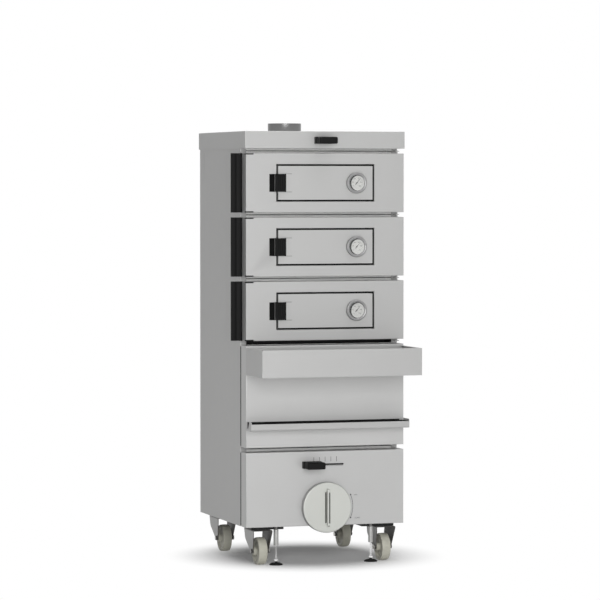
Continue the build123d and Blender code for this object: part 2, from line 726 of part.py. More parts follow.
basket_back = front_back + basket_length
with BuildPart() as charcoal_basket:
    slab((basket_left, basket_right), (front_back, basket_back), (basket_z, basket_z + basket_height))
    slab((basket_left + plate, basket_right - plate), (front_back + plate, basket_back - plate),
         (basket_z, basket_z + basket_height), Mode.SUBTRACT)
    slab((basket_left, basket_right), (front_back, basket_back), (basket_z, basket_z + plate))
    slab((basket_left + runner_ledge, basket_right - runner_ledge),
         (front_back + runner_ledge, basket_back - runner_ledge), (basket_z, basket_z + plate),
         Mode.SUBTRACT)
save(charcoal_basket.part, "charcoal_basket")

with BuildPart() as charcoal_grate:
    grate_z = basket_z + plate
    grate_left = basket_left + plate + drawer_side_gap
    grate_right = basket_right - plate - drawer_side_gap
    grate_front = front_back + plate + drawer_side_gap
    grate_back = basket_back - plate - drawer_side_gap
    slab((grate_left, grate_right), (grate_front, grate_back), (grate_z, grate_z + grate_height))
    slab((grate_left + grate_bar, grate_right - grate_bar),
         (grate_front + grate_bar, grate_back - grate_bar),
         (grate_z, grate_z + grate_height), Mode.SUBTRACT)
    bar_count = int((grate_right - grate_left - grate_bar) // grate_pitch)
    with BuildSketch(Plane.XY.offset(grate_z)) as grate_bars:
        with Locations((mid_x, (grate_front + grate_back) / 2)):
            with GridLocations(grate_pitch, 0, bar_count, 1):
                Rectangle(grate_bar, grate_back - grate_front - grate_bar)
    extrude(grate_bars.sketch, amount=grate_height)
save(charcoal_grate.part, "charcoal_grate")

shelf_top = fire_top_z - shelf_drop
shelf_bottom = shelf_top - shelf_height
with BuildPart() as shelf_tray:
    slab((left_x, right_x), (front_y - shelf_depth, front_y), (shelf_bottom, shelf_top))
    fillet(shelf_tray.edges().filter_by(Axis.Z).group_by(Axis.Y)[0], bend_radius)
    slab((left_x + sheet, right_x - sheet), (front_y - shelf_depth + sheet, front_y - sheet),
         (shelf_bottom + sheet, shelf_top - sheet), Mode.SUBTRACT)
    slab((left_x + shelf_rim, right_x - shelf_rim), (front_y - shelf_depth + shelf_rim, front_y - sheet),
         (shelf_top - sheet, shelf_top), Mode.SUBTRACT)
save(shelf_tray.part, "shelf_tray")

handle_z = fire_z + handle_z_offset
handle_front = front_y - handle_depth
end_top = handle_z + handle_height + end_rise
with BuildPart() as bar_handle:
    with BuildSketch(Plane.YZ.offset(left_x)) as trough:
        with Locations((handle_front, handle_z)):
            Rectangle(handle_depth, handle_height, align=(Align.MIN, Align.MIN))
        fillet(trough.vertices().group_by(Axis.X)[0].sort_by(Axis.Y)[0], handle_round)
        with Locations((handle_front + handle_sheet, handle_z + handle_sheet)):
            Rectangle(handle_depth - 2 * handle_sheet, handle_height, align=(Align.MIN, Align.MIN),
                      mode=Mode.SUBTRACT)
    extrude(amount=body_width)
    with BuildSketch(Plane.YZ.offset(left_x)) as left_end:
        with Locations((handle_front, handle_z)):
            Rectangle(handle_depth, end_top - handle_z, align=(Align.MIN, Align.MIN))
        fillet(left_end.vertices().group_by(Axis.X)[0], handle_round)
        with BuildLine():
            Polyline((front_y - cutout_front, end_top),
                     (front_y - cutout_front + cutout_slope, handle_z + cutout_floor),
                     (front_y - cutout_back - cutout_taper, handle_z + cutout_floor + handle_sheet),
                     (front_y - cutout_back, end_top), close=True)
        make_face(mode=Mode.SUBTRACT)
    extrude(left_end.sketch, amount=handle_sheet)
    with BuildSketch(Plane.YZ.offset(right_x - handle_sheet)) as right_end:
        with Locations((handle_front, handle_z)):
            Rectangle(handle_depth, end_top - handle_z, align=(Align.MIN, Align.MIN))
        fillet(right_end.vertices().group_by(Axis.X)[0], handle_round)
    extrude(right_end.sketch, amount=handle_sheet)
    slab((right_x - end_flange, right_x), (front_y - handle_sheet, front_y), (handle_z, end_top))
save(bar_handle.part, "bar_handle")

# Ash drawer: hollow front with the slider's slot and the valve's ports, and the pan behind it
valve_z = ash_z + valve_height
slot_z = ash_z + air_slot_z
shaft_y = front_y - shaft_boss_rise


def port_sketch(plane, first_middle):
    # Ring sectors evenly spaced about the valve's centre
    centre = (mid_x, valve_z)
    with BuildSketch(plane) as ports:
        for index in range(valve_ports):
            start = first_middle + index * 360 / valve_ports - port_angle / 2
            with BuildLine():
                outer = CenterArc(centre, port_outer_radius, start, port_angle)
                inner = CenterArc(centre, port_inner_radius, start, port_angle)
                Line(outer @ 0, inner @ 0)
                Line(outer @ 1, inner @ 1)
            make_face()
    return ports.sketch


with BuildPart() as ash_front:
    slab((left_x, right_x), (front_y, front_back), (ash_z, ash_top_z))
    fillet(ash_front.faces().sort_by(Axis.Y)[0].edges(), bend_radius)
    slab((left_x + sheet, right_x - sheet), (front_y + sheet, front_back - sheet),
         (ash_z + sheet, ash_top_z - sheet), Mode.SUBTRACT)
    window_top = ash_top_z - air_window_drop
    slab((mid_x - air_window_width / 2, mid_x + air_window_width / 2), (front_back - sheet, front_back),
         (window_top - air_window_height, window_top), Mode.SUBTRACT)
    with BuildSketch(Plane.XZ.offset(-front_y)) as air_slot:
        with Locations((mid_x, slot_z)):
            SlotOverall(air_slot_length, air_slot_height)
    extrude(air_slot.sketch, amount=-sheet, mode=Mode.SUBTRACT)
    extrude(port_sketch(Plane.XZ.offset(-front_y), 0), amount=-sheet, mode=Mode.SUBTRACT)
    rod(shaft_boss_radius, (mid_x, shaft_y, valve_z), (mid_x, front_y + sheet, valve_z))
    rod(shaft_radius + shaft_play, (mid_x, shaft_y, valve_z), (mid_x, front_y + sheet, valve_z),
        Mode.SUBTRACT)
    guide_x = (mid_x - body_width / 3, mid_x + body_width / 3)
    guide_y = front_y + sheet
    for side in (-1, 1):
        edge = slot_z + side * (shutter_height / 2 + shutter_play)
        low, high = sorted((edge, edge + side * plate))
        slab(guide_x, (guide_y, guide_y + 3 * plate), (low, high))
        low, high = sorted((edge - side * plate, edge + side * plate))
        slab(guide_x, (guide_y + 2 * plate, guide_y + 3 * plate), (low, high))
save(ash_front.part, "ash_front")

with BuildPart() as ash_pan:
    slab((basket_left, basket_right), (front_back, front_back + pan_length), (pan_z, pan_z + pan_height))
    slab((basket_left + sheet, basket_right - sheet), (front_back + sheet, front_back + pan_length - sheet),
         (pan_z + sheet, pan_z + pan_height), Mode.SUBTRACT)
save(ash_pan.part, "ash_pan")


def make_block(x, z):
    # The black ribbed grip block: back flange, neck and front handle, its length along X
    with BuildPart() as block:
        near = front_y - block_stand
        with BuildSketch(Plane.YZ.offset(x - block_length / 2)) as section:
            with Locations((near - block_back, z - block_height / 2)):
                Rectangle(block_back, block_height, align=(Align.MIN, Align.MIN))
            with Locations((near - block_back - block_neck, z - block_neck_height / 2)):
                Rectangle(block_neck, block_neck_height, align=(Align.MIN, Align.MIN))
            with Locations((near - block_back - block_neck - block_front, z - block_height / 2)):
                Rectangle(block_front, block_height, align=(Align.MIN, Align.MIN))
            fillet(section.vertices().group_by(Axis.X)[0], block_round)
        extrude(amount=block_length)
    return block


# Air slider at the left end of its slot
slider_x = mid_x - air_slot_length / 2 + air_slot_height / 2 + slider_stem_width / 2 - slider_stem_play
save(make_block(slider_x, slot_z).part, "air_slider_grip")

shutter_y = front_y + sheet + shutter_play
with BuildPart() as air_shutter:
    slab((slider_x - slider_stem_width / 2, slider_x - slider_stem_width / 2 + shutter_width),
         (shutter_y, front_y + sheet + 2 * plate - shutter_play),
         (slot_z - shutter_height / 2, slot_z + shutter_height / 2))
    stem_height = air_slot_height / 2 - slider_stem_play
    slab((slider_x - slider_stem_width / 2, slider_x + slider_stem_width / 2),
         (front_y - block_stand, shutter_y), (slot_z - stem_height, slot_z + stem_height))
save(air_shutter.part, "air_shutter")

# Rotary air valve: a spun cup with a rib, its shaft, and the rotor with matching ports
knob_front = front_y - knob_stand - knob_thickness
with BuildPart() as air_knob:
    rod(knob_radius, (mid_x, front_y - knob_stand, valve_z), (mid_x, knob_front, valve_z))
    fillet(air_knob.faces().sort_by(Axis.Y)[0].edges(), knob_round)
    rod(knob_radius - knob_wall, (mid_x, front_y - knob_stand, valve_z),
        (mid_x, knob_front + knob_wall, valve_z), Mode.SUBTRACT)
    with BuildSketch(Plane.XZ.offset(-knob_front)) as rib:
        with Locations((mid_x, valve_z)):
            SlotOverall(rib_length, rib_width, rotation=90)
    extrude(rib.sketch, amount=rib_rise)
    fillet(air_knob.faces().sort_by(Axis.Y)[0].edges(), rib_width / 4)
    rod(shaft_boss_radius, (mid_x, shaft_y - slide_play, valve_z), (mid_x, knob_front + knob_wall, valve_z))
    rod(shaft_radius, (mid_x, knob_front + knob_wall, valve_z),
        (mid_x, front_y + sheet + rotor_play, valve_z))
save(air_knob.part, "air_knob")

rotor_y = front_y + sheet + rotor_play
with BuildPart() as air_rotor:
    rod(rotor_radius, (mid_x, rotor_y, valve_z), (mid_x, rotor_y + plate, valve_z))
    extrude(port_sketch(Plane.XZ.offset(-rotor_y), 180 / valve_ports / 2), amount=-plate, mode=Mode.SUBTRACT)
    rod(shaft_boss_radius, (mid_x, rotor_y + plate, valve_z), (mid_x, rotor_y + 3 * plate, valve_z))
save(air_rotor.part, "air_rotor")

# Flue damper: grip in front of the cap, a long rod, and the blade that slides under the collar
save(make_block(damper_x, damper_z).part, "damper_grip")

with BuildPart() as damper_blade:
    slab((mid_x - blade_half, mid_x + blade_half), (flue_y - blade_half, flue_y + blade_half),
         (blade_bottom, blade_top))
    rod(damper_rod_radius, (damper_x, front_y - block_stand, damper_z),
        (damper_x, flue_y - blade_half, damper_z))
save(damper_blade.part, "damper_blade")

# Running gear: each corner's side face, the way inwards from it, and its swivel's place
corners = {
    "front_left": (left_x, 1, front_y + front_caster_y),
    "front_right": (right_x, -1, front_y + front_caster_y),
    "rear_left": (left_x, 1, back_y - rear_caster_from_back),
    "rear_right": (right_x, -1, back_y - rear_caster_from_back),
}
foot_y = front_y + front_caster_y - bar_reach - foot_lead
fork_top = caster_height - bearing_gap
kingpin_top = bottom_z - plate


def make_mount_bar(edge, inward, pin_y):
    # A bar bored for the kingpin
    bar_x = sorted((edge + inward * bar_inset, edge + inward * (bar_inset + bar_length)))
    pin_x = edge + inward * caster_from_side
    with BuildPart() as bar:
        slab(bar_x, (pin_y - bar_reach, pin_y - bar_reach + bar_depth), (caster_height, bottom_z))
        rod(kingpin_radius + axle_play, (pin_x, pin_y, caster_height),
            (pin_x, pin_y, kingpin_top + bearing_gap), Mode.SUBTRACT)
    return bar.part


def make_sleeve(edge, inward):
    # The threaded sleeve of a levelling foot, hung by its neck from the front of the bar
    foot_x = edge + inward * foot_from_side
    bar_front = foot_y + foot_lead
    with BuildPart() as sleeve:
        slab((foot_x - foot_neck / 2, foot_x + foot_neck / 2), (foot_y - foot_neck / 2, bar_front),
             (caster_height, bottom_z))
        rod(sleeve_radius, (foot_x, foot_y, caster_height - sleeve_length), (foot_x, foot_y, caster_height))
        rod(foot_rod_radius + foot_rod_play, (foot_x, foot_y, caster_height - sleeve_length),
            (foot_x, foot_y, caster_height - plate), Mode.SUBTRACT)
    return sleeve.part


def make_fork(edge, inward, pin_y):
    # A folded fork: an inverted U with leaning cheeks, cut to its side outline, with its axle bolt
    pin_x = edge + inward * caster_from_side
    axle_y = pin_y - trail
    tip_z = wheel_radius - fork_drop
    boss = fork_foot_width / 2 + fork_sheet / 2
    lean = (fork_width - fork_foot_width) / 2
    with BuildPart() as fork:
        with BuildSketch(Plane.XZ.offset(-pin_y - fork_length / 2)) as section:
            with BuildLine():
                Polyline((pin_x - fork_width / 2, fork_top), (pin_x + fork_width / 2, fork_top),
                         (pin_x + fork_width / 2 - lean, tip_z), (pin_x - fork_width / 2 + lean, tip_z),
                         close=True)
            make_face()
            fillet(section.vertices().group_by(Axis.Y)[-1], fork_sheet)
            with BuildLine():
                half = fork_width / 2 - fork_sheet
                Polyline((pin_x - half, fork_top - fork_sheet), (pin_x + half, fork_top - fork_sheet),
                         (pin_x + half - lean, tip_z - fork_sheet),
                         (pin_x - half + lean, tip_z - fork_sheet), close=True)
            make_face(mode=Mode.SUBTRACT)
        extrude(amount=fork_length)
        with BuildSketch(Plane.YZ.offset(pin_x - fork_width)) as outline:
            with BuildLine():
                Polyline((pin_y - fork_length / 2, fork_top), (pin_y + fork_length / 2, fork_top),
                         (pin_y + fork_length / 2, fork_top - fork_skirt), (axle_y + fork_tip, tip_z),
                         (axle_y - fork_tip, tip_z), (pin_y - fork_length / 2, fork_top - fork_lip),
                         close=True)
            make_face()
            fillet(outline.vertices().group_by(Axis.Y)[0], fork_drop)
            skirt_z = fork_top - fork_skirt
            fillet(outline.vertices().filter_by_position(Axis.Y, skirt_z, skirt_z), fork_corner)
            lip_z = fork_top - fork_lip
            fillet(outline.vertices().filter_by_position(Axis.Y, lip_z, lip_z), fork_lip)
        extrude(outline.sketch, amount=2 * fork_width, mode=Mode.INTERSECT)
        for side in (-1, 1):
            rod(fork_boss_radius, (pin_x + side * (boss - fork_sheet), axle_y, wheel_radius),
                (pin_x + side * boss, axle_y, wheel_radius))
        rod(axle_radius + axle_play, (pin_x - fork_width, axle_y, wheel_radius),
            (pin_x + fork_width, axle_y, wheel_radius), Mode.SUBTRACT)
        rod(kingpin_radius, (pin_x, pin_y, fork_top), (pin_x, pin_y, kingpin_top))
    with BuildPart() as axle:
        rod(axle_radius, (pin_x - boss, axle_y, wheel_radius), (pin_x + boss, axle_y, wheel_radius))
        with BuildSketch(Plane.YZ.offset(pin_x + boss), Plane.YZ.offset(pin_x - boss - axle_head)) as heads:
            with Locations((axle_y, wheel_radius)):
                RegularPolygon(fork_boss_radius, 6)
        extrude(heads.sketch, amount=axle_head)
    return Compound(children=[fork.part, axle.part])


def make_wheel(edge, inward, pin_y):
    # A crowned tyre on a dished wheel, its hub wider than the tread
    pin_x = edge + inward * caster_from_side
    axle_y = pin_y - trail
    half = wheel_width / 2
    bore = wheel_radius + axle_radius + axle_play
    shoulder = 2 * wheel_radius - wheel_crown
    rim = 2 * wheel_radius - wheel_crown - wheel_rim
    hub = wheel_radius + hub_radius
    with BuildPart() as wheel:
        with BuildSketch(Plane.XZ.offset(-axle_y)) as profile:
            with BuildLine():
                ThreePointArc((pin_x - half, shoulder), (pin_x, 2 * wheel_radius), (pin_x + half, shoulder))
                Polyline((pin_x + half, shoulder), (pin_x + half, rim),
                         (pin_x + half - wheel_dish, rim - wheel_dish), (pin_x + half - wheel_dish, hub),
                         (pin_x + hub_width / 2, hub), (pin_x + hub_width / 2, bore),
                         (pin_x - hub_width / 2, bore), (pin_x - hub_width / 2, hub),
                         (pin_x - half + wheel_dish, hub), (pin_x - half + wheel_dish, rim - wheel_dish),
                         (pin_x - half, rim), (pin_x - half, shoulder))
            make_face()
            fillet(profile.vertices().group_by(Axis.Y)[-1], wheel_round)
        revolve(axis=Axis((pin_x, axle_y, wheel_radius), (1, 0, 0)))
    return wheel.part


def make_foot(edge, inward):
    # A domed pad on a threaded rod that climbs into its sleeve
    foot_x = edge + inward * foot_from_side
    with BuildPart() as foot:
        with BuildSketch(Plane.XZ.offset(-foot_y)) as profile:
            with BuildLine():
                Polyline((foot_x, pad_height), (foot_x, 0), (foot_x + pad_radius, 0),
                         (foot_x + pad_radius, pad_edge))
                ThreePointArc((foot_x + pad_radius, pad_edge),
                              (foot_x + (pad_radius + pad_hub) / 2, pad_height - pad_edge / 2),
                              (foot_x + pad_hub, pad_height))
                Line((foot_x + pad_hub, pad_height), (foot_x, pad_height))
            make_face()
        revolve(axis=Axis((foot_x, foot_y, 0), (0, 0, 1)))
        rod_top = caster_height - 2 * plate - foot_travel
        rod(foot_rod_radius, (foot_x, foot_y, pad_height), (foot_x, foot_y, rod_top))
    return foot.part


mount_bars = [make_mount_bar(*place) for place in corners.values()]
save_group(mount_bars + [make_sleeve(left_x, 1), make_sleeve(right_x, -1)], "underframe")
for name, place in corners.items():
    save(make_fork(*place), "caster_fork_" + name)
    save(make_wheel(*place), "caster_wheel_" + name)
save(make_foot(left_x, 1), "levelling_foot_left")
save(make_foot(right_x, -1), "levelling_foot_right")
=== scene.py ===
import json
import math
import bpy
from mathutils import Matrix, Vector

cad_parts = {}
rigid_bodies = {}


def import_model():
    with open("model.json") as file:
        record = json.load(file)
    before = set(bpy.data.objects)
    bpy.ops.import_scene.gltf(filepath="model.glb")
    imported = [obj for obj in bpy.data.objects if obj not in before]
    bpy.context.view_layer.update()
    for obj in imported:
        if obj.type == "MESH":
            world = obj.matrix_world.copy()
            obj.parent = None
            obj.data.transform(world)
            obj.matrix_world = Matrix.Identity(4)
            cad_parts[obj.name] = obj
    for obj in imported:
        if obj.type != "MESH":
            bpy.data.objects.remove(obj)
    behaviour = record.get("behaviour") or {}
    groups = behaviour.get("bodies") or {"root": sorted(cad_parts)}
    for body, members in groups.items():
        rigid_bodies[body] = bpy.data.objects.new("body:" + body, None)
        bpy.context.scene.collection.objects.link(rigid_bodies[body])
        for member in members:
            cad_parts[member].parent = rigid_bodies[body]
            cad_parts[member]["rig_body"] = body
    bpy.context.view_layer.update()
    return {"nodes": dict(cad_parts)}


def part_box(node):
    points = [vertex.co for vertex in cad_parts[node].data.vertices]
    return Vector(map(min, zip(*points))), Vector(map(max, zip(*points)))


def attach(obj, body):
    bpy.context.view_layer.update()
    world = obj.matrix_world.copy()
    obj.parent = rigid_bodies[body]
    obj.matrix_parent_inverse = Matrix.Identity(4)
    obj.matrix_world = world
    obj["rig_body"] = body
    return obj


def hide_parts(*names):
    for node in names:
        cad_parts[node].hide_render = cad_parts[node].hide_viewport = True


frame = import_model()
nodes = frame["nodes"]
doorNames = ["lower", "middle", "upper"]
casterNames = ["front_left", "front_right", "rear_left", "rear_right"]
print("frame loaded with", len(nodes), "nodes")


def between(low, high):
    return [(a + b) / 2 for a, b in zip(low, high)]


def middleOf(node):
    return between(*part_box(node))


# The photograph's view
view = {"place": (-3.6115, -11.295, 1.3901), "turn": (87.88, 0.0, -17.67), "lens": 193.6, "sensor": 36.0}
cameraData = bpy.data.cameras.new("camera")
cameraData.lens = view["lens"]
cameraData.sensor_width = view["sensor"]
camera = bpy.data.objects.new("camera", cameraData)
camera.location = view["place"]
camera.rotation_euler = [math.radians(angle) for angle in view["turn"]]
bpy.context.scene.collection.objects.link(camera)
bpy.context.scene.camera = camera
bpy.context.scene.view_settings.view_transform = "Standard"


# Shader groups, each built once and used with its own values
def newGroup(name, inputs, outputs):
    group = bpy.data.node_groups.new(name, "ShaderNodeTree")
    for label, value in inputs.items():
        kind = "Float" if isinstance(value, float) else {3: "Vector", 4: "Color"}[len(value)]
        socket = group.interface.new_socket(label, in_out="INPUT", socket_type="NodeSocket" + kind)
        socket.default_value = value
    for label in outputs:
        kind = "Color" if label == "Color" else "Float"
        group.interface.new_socket(label, in_out="OUTPUT", socket_type="NodeSocket" + kind)
    return group, group.nodes.new("NodeGroupInput"), group.nodes.new("NodeGroupOutput")


def mathNode(tree, operation, first, second=None, clamp=False):
    node = tree.nodes.new("ShaderNodeMath")
    node.operation = operation
    node.use_clamp = clamp
    for index, value in enumerate((first, second)):
        if value is None:
            continue
        if isinstance(value, (int, float)):
            node.inputs[index].default_value = value
        else:
            tree.links.new(value, node.inputs[index])
    return node.outputs[0]


def mixColor(tree, amount, first, second, blend="MIX"):
    node = tree.nodes.new("ShaderNodeMix")
    node.data_type = "RGBA"
    node.blend_type = blend
    for index, value in ((0, amount), (6, first), (7, second)):
        if isinstance(value, bpy.types.NodeSocket):
            tree.links.new(value, node.inputs[index])
        else:
            node.inputs[index].default_value = value
    return node.outputs[2]


def noiseNode(tree, vector, scale, detail=3.0, rough=0.5):
    node = tree.nodes.new("ShaderNodeTexNoise")
    node.inputs["Detail"].default_value = detail
    node.inputs["Roughness"].default_value = rough
    if isinstance(scale, (int, float)):
        node.inputs["Scale"].default_value = scale
    else:
        tree.links.new(scale, node.inputs["Scale"])
    tree.links.new(vector, node.inputs["Vector"])
    return node.outputs[0]


def shadeBy(tree, color, factor):
    # The colour times a grey factor
    grey = tree.nodes.new("ShaderNodeCombineColor")
    for index in range(3):
        tree.links.new(factor, grey.inputs[index])
    return mixColor(tree, 1.0, color, grey.outputs[0], "MULTIPLY")


def swing(tree, noise, amount):
    # Noise about its middle, times an amount
    return mathNode(tree, "MULTIPLY", mathNode(tree, "SUBTRACT", noise, 0.5), amount)


def seenRays(tree):
    # Whatever looks at a thing: the camera, a reflection or the view through glass
    path = tree.nodes.new("ShaderNodeLightPath")
    mirrored = mathNode(tree, "MAXIMUM", path.outputs["Is Glossy Ray"], path.outputs["Is Transmission Ray"])
    return mathNode(tree, "MAXIMUM", path.outputs["Is Camera Ray"], mirrored)


def objectVector(tree, stretch=None):
    coordinates = tree.nodes.new("ShaderNodeTexCoord")
    if stretch is None:
        return coordinates.outputs["Object"]
    mapping = tree.nodes.new("ShaderNodeMapping")
    tree.links.new(coordinates.outputs["Object"], mapping.inputs["Vector"])
    if isinstance(stretch, bpy.types.NodeSocket):
        tree.links.new(stretch, mapping.inputs["Scale"])
    else:
        mapping.inputs["Scale"].default_value = stretch
    return mapping.outputs[0]


def makeBrushedGrain():
    # Fine streaks along one axis over a slow cloudiness, for sheet steel
    group, given, result = newGroup(
        "brushedGrain", {"Color": (0.5, 0.5, 0.5, 1), "Stretch": (20, 20, 900), "Contrast": 0.08, "Cloud": 0.06,
                         "Roughness": 0.35}, ("Color", "Roughness", "Height"))
    streaks = noiseNode(group, objectVector(group, given.outputs["Stretch"]), 1.0, 4.0, 0.6)
    cloud = noiseNode(group, objectVector(group), 5.0, 3.0, 0.55)
    streakShift = swing(group, streaks, given.outputs["Contrast"])
    cloudShift = swing(group, cloud, given.outputs["Cloud"])
    shift = mathNode(group, "ADD", mathNode(group, "ADD", streakShift, cloudShift), 1.0)
    group.links.new(shadeBy(group, given.outputs["Color"], shift), result.inputs["Color"])
    roughShift = mathNode(group, "ADD", mathNode(group, "MULTIPLY", streakShift, 0.8),
                          mathNode(group, "MULTIPLY", cloudShift, 1.5))
    group.links.new(mathNode(group, "ADD", given.outputs["Roughness"], roughShift, True),
                    result.inputs["Roughness"])
    group.links.new(streaks, result.inputs["Height"])
    return group


def makeEdgeWear():
    # A mask along outer edges, from the difference between the true and a rounded normal
    group, given, result = newGroup("edgeWear", {"Radius": 0.002, "Strength": 1.0}, ("Mask",))
    bevel = group.nodes.new("ShaderNodeBevel")
    bevel.samples = 4
    group.links.new(given.outputs["Radius"], bevel.inputs["Radius"])
    geometry = group.nodes.new("ShaderNodeNewGeometry")
    product = group.nodes.new("ShaderNodeVectorMath")
    product.operation = "DOT_PRODUCT"
    group.links.new(bevel.outputs[0], product.inputs[0])
    group.links.new(geometry.outputs["Normal"], product.inputs[1])
    edge = mathNode(group, "MULTIPLY", mathNode(group, "SUBTRACT", 1.0, product.outputs["Value"]), 3.0, True)
    patches = noiseNode(group, objectVector(group), 60.0, 3.0)
    worn = mathNode(group, "MULTIPLY", edge, mathNode(group, "ADD", patches, 0.3))
    group.links.new(mathNode(group, "MULTIPLY", worn, given.outputs["Strength"], True), result.inputs["Mask"])
    return group


def makeMoulded():
    # The fine pebble and faint mottling of moulded, cast or painted surfaces
    group, given, result = newGroup(
        "mouldedSurface", {"Color": (0.05, 0.05, 0.05, 1), "Pebble": 900.0, "Mottle": 0.15, "Roughness": 0.5},
        ("Color", "Roughness", "Height"))
    pebble = noiseNode(group, objectVector(group), given.outputs["Pebble"], 2.0)
    mottle = noiseNode(group, objectVector(group), 25.0, 4.0)
    shift = swing(group, mottle, given.outputs["Mottle"])
    factor = mathNode(group, "ADD", mathNode(group, "MULTIPLY", shift, 2.0), 1.0)
    group.links.new(shadeBy(group, given.outputs["Color"], factor), result.inputs["Color"])
    group.links.new(mathNode(group, "ADD", given.outputs["Roughness"], shift, True),
                    result.inputs["Roughness"])
    group.links.new(pebble, result.inputs["Height"])
    return group


def makeBraid():
    # Crossing diagonal strands, for rope and woven seals
    group, given, result = newGroup(
        "braidedRope", {"Color": (0.2, 0.2, 0.18, 1), "Strands": 260.0, "Depth": 0.5}, ("Color", "Height"))
    split = group.nodes.new("ShaderNodeSeparateXYZ")
    group.links.new(objectVector(group), split.inputs[0])
    across = mathNode(group, "ADD", split.outputs[0], split.outputs[1])
    waves = []
    for operation in ("ADD", "SUBTRACT"):
        slant = mathNode(group, "MULTIPLY", mathNode(group, operation, across, split.outputs[2]),
                         given.outputs["Strands"])
        waves.append(mathNode(group, "ABSOLUTE", mathNode(group, "SINE", slant)))
    strands = mathNode(group, "MAXIMUM", waves[0], waves[1])
    fuzz = noiseNode(group, objectVector(group), 900.0, 3.0)
    height = mathNode(group, "ADD", strands, mathNode(group, "MULTIPLY", fuzz, 0.3))
    group.links.new(height, result.inputs["Height"])
    # The valleys between the strands are darkened: painted shade
    valleyShade = mathNode(group, "MULTIPLY", mathNode(group, "SUBTRACT", 1.0, strands), given.outputs["Depth"])
    shade = mathNode(group, "SUBTRACT", 1.0, valleyShade, True)
    group.links.new(shadeBy(group, given.outputs["Color"], shade), result.inputs["Color"])
    return group


brushedGrain = makeBrushedGrain()
edgeWear = makeEdgeWear()
mouldedSurface = makeMoulded()
braidedRope = makeBraid()


def newMaterial(name, metallic, specular):
    material = bpy.data.materials.new(name)
    material.use_nodes = True
    shader = material.node_tree.nodes["Principled BSDF"]
    shader.inputs["Metallic"].default_value = metallic
    shader.inputs["Specular IOR Level"].default_value = specular
    return material, material.node_tree, shader


def placeGroup(tree, group, values):
    node = tree.nodes.new("ShaderNodeGroup")
    node.node_tree = group
    for label, value in values.items():
        node.inputs[label].default_value = value
    return node


def addBump(tree, shader, height, strength, distance):
    bump = tree.nodes.new("ShaderNodeBump")
    bump.inputs["Strength"].default_value = strength
    bump.inputs["Distance"].default_value = distance
    tree.links.new(height, bump.inputs["Height"])
    tree.links.new(bump.outputs[0], shader.inputs["Normal"])


steel = {"metallic": 0.22, "specular": 0.25, "bump": 0.05, "bumpDepth": 0.0003, "wearReach": 0.0018,
         "wearGain": 1.35}
moulded = {"bumpDepth": 0.0003, "wearReach": 0.0012}
rope = {"roughness": 0.95, "specular": 0.1, "bumpDepth": 0.0008}


def sheetSteel(name, color, stretch, roughness=0.42, contrast=0.07, cloud=0.05, worn=0.2,
               metallic=steel["metallic"]):
    material, tree, shader = newMaterial(name, metallic, steel["specular"])
    grain = placeGroup(tree, brushedGrain, {"Color": (*color, 1), "Stretch": stretch, "Contrast": contrast,
                                            "Cloud": cloud, "Roughness": roughness})
    wear = placeGroup(tree, edgeWear, {"Radius": steel["wearReach"], "Strength": worn})
    bright = tuple(min(1.0, channel * steel["wearGain"]) for channel in color) + (1,)
    tree.links.new(mixColor(tree, wear.outputs["Mask"], grain.outputs["Color"], bright),
                   shader.inputs["Base Color"])
    tree.links.new(grain.outputs["Roughness"], shader.inputs["Roughness"])
    addBump(tree, shader, grain.outputs["Height"], steel["bump"], steel["bumpDepth"])
    return material


def plainSurface(name, color, roughness=0.5, pebble=900.0, mottle=0.15, bump=0.15, metallic=0.0, worn=0.0,
                 wornColor=(0.4, 0.4, 0.4, 1), specular=0.35):
    material, tree, shader = newMaterial(name, metallic, specular)
    surface = placeGroup(tree, mouldedSurface, {"Color": (*color, 1), "Pebble": pebble, "Mottle": mottle,
                                                "Roughness": roughness})
    wear = placeGroup(tree, edgeWear, {"Radius": moulded["wearReach"], "Strength": worn})
    tree.links.new(mixColor(tree, wear.outputs["Mask"], surface.outputs["Color"], wornColor),
                   shader.inputs["Base Color"])
    tree.links.new(surface.outputs["Roughness"], shader.inputs["Roughness"])
    addBump(tree, shader, surface.outputs["Height"], bump, moulded["bumpDepth"])
    return material


def ropeSurface(name, color, strands, depth, bump):
    material, tree, shader = newMaterial(name, 0.0, rope["specular"])
    braid = placeGroup(tree, braidedRope, {"Color": (*color, 1), "Strands": strands, "Depth": depth})
    tree.links.new(braid.outputs["Color"], shader.inputs["Base Color"])
    shader.inputs["Roughness"].default_value = rope["roughness"]
    addBump(tree, shader, braid.outputs["Height"], bump, rope["bumpDepth"])
    return material


def clearGlass(name, alpha):
    material, tree, shader = newMaterial(name, 0.0, 0.5)
    shader.inputs["Base Color"].default_value = (0.95, 0.97, 0.96, 1)
    shader.inputs["Roughness"].default_value = 0.04
    shader.inputs["Alpha"].default_value = alpha
    return material


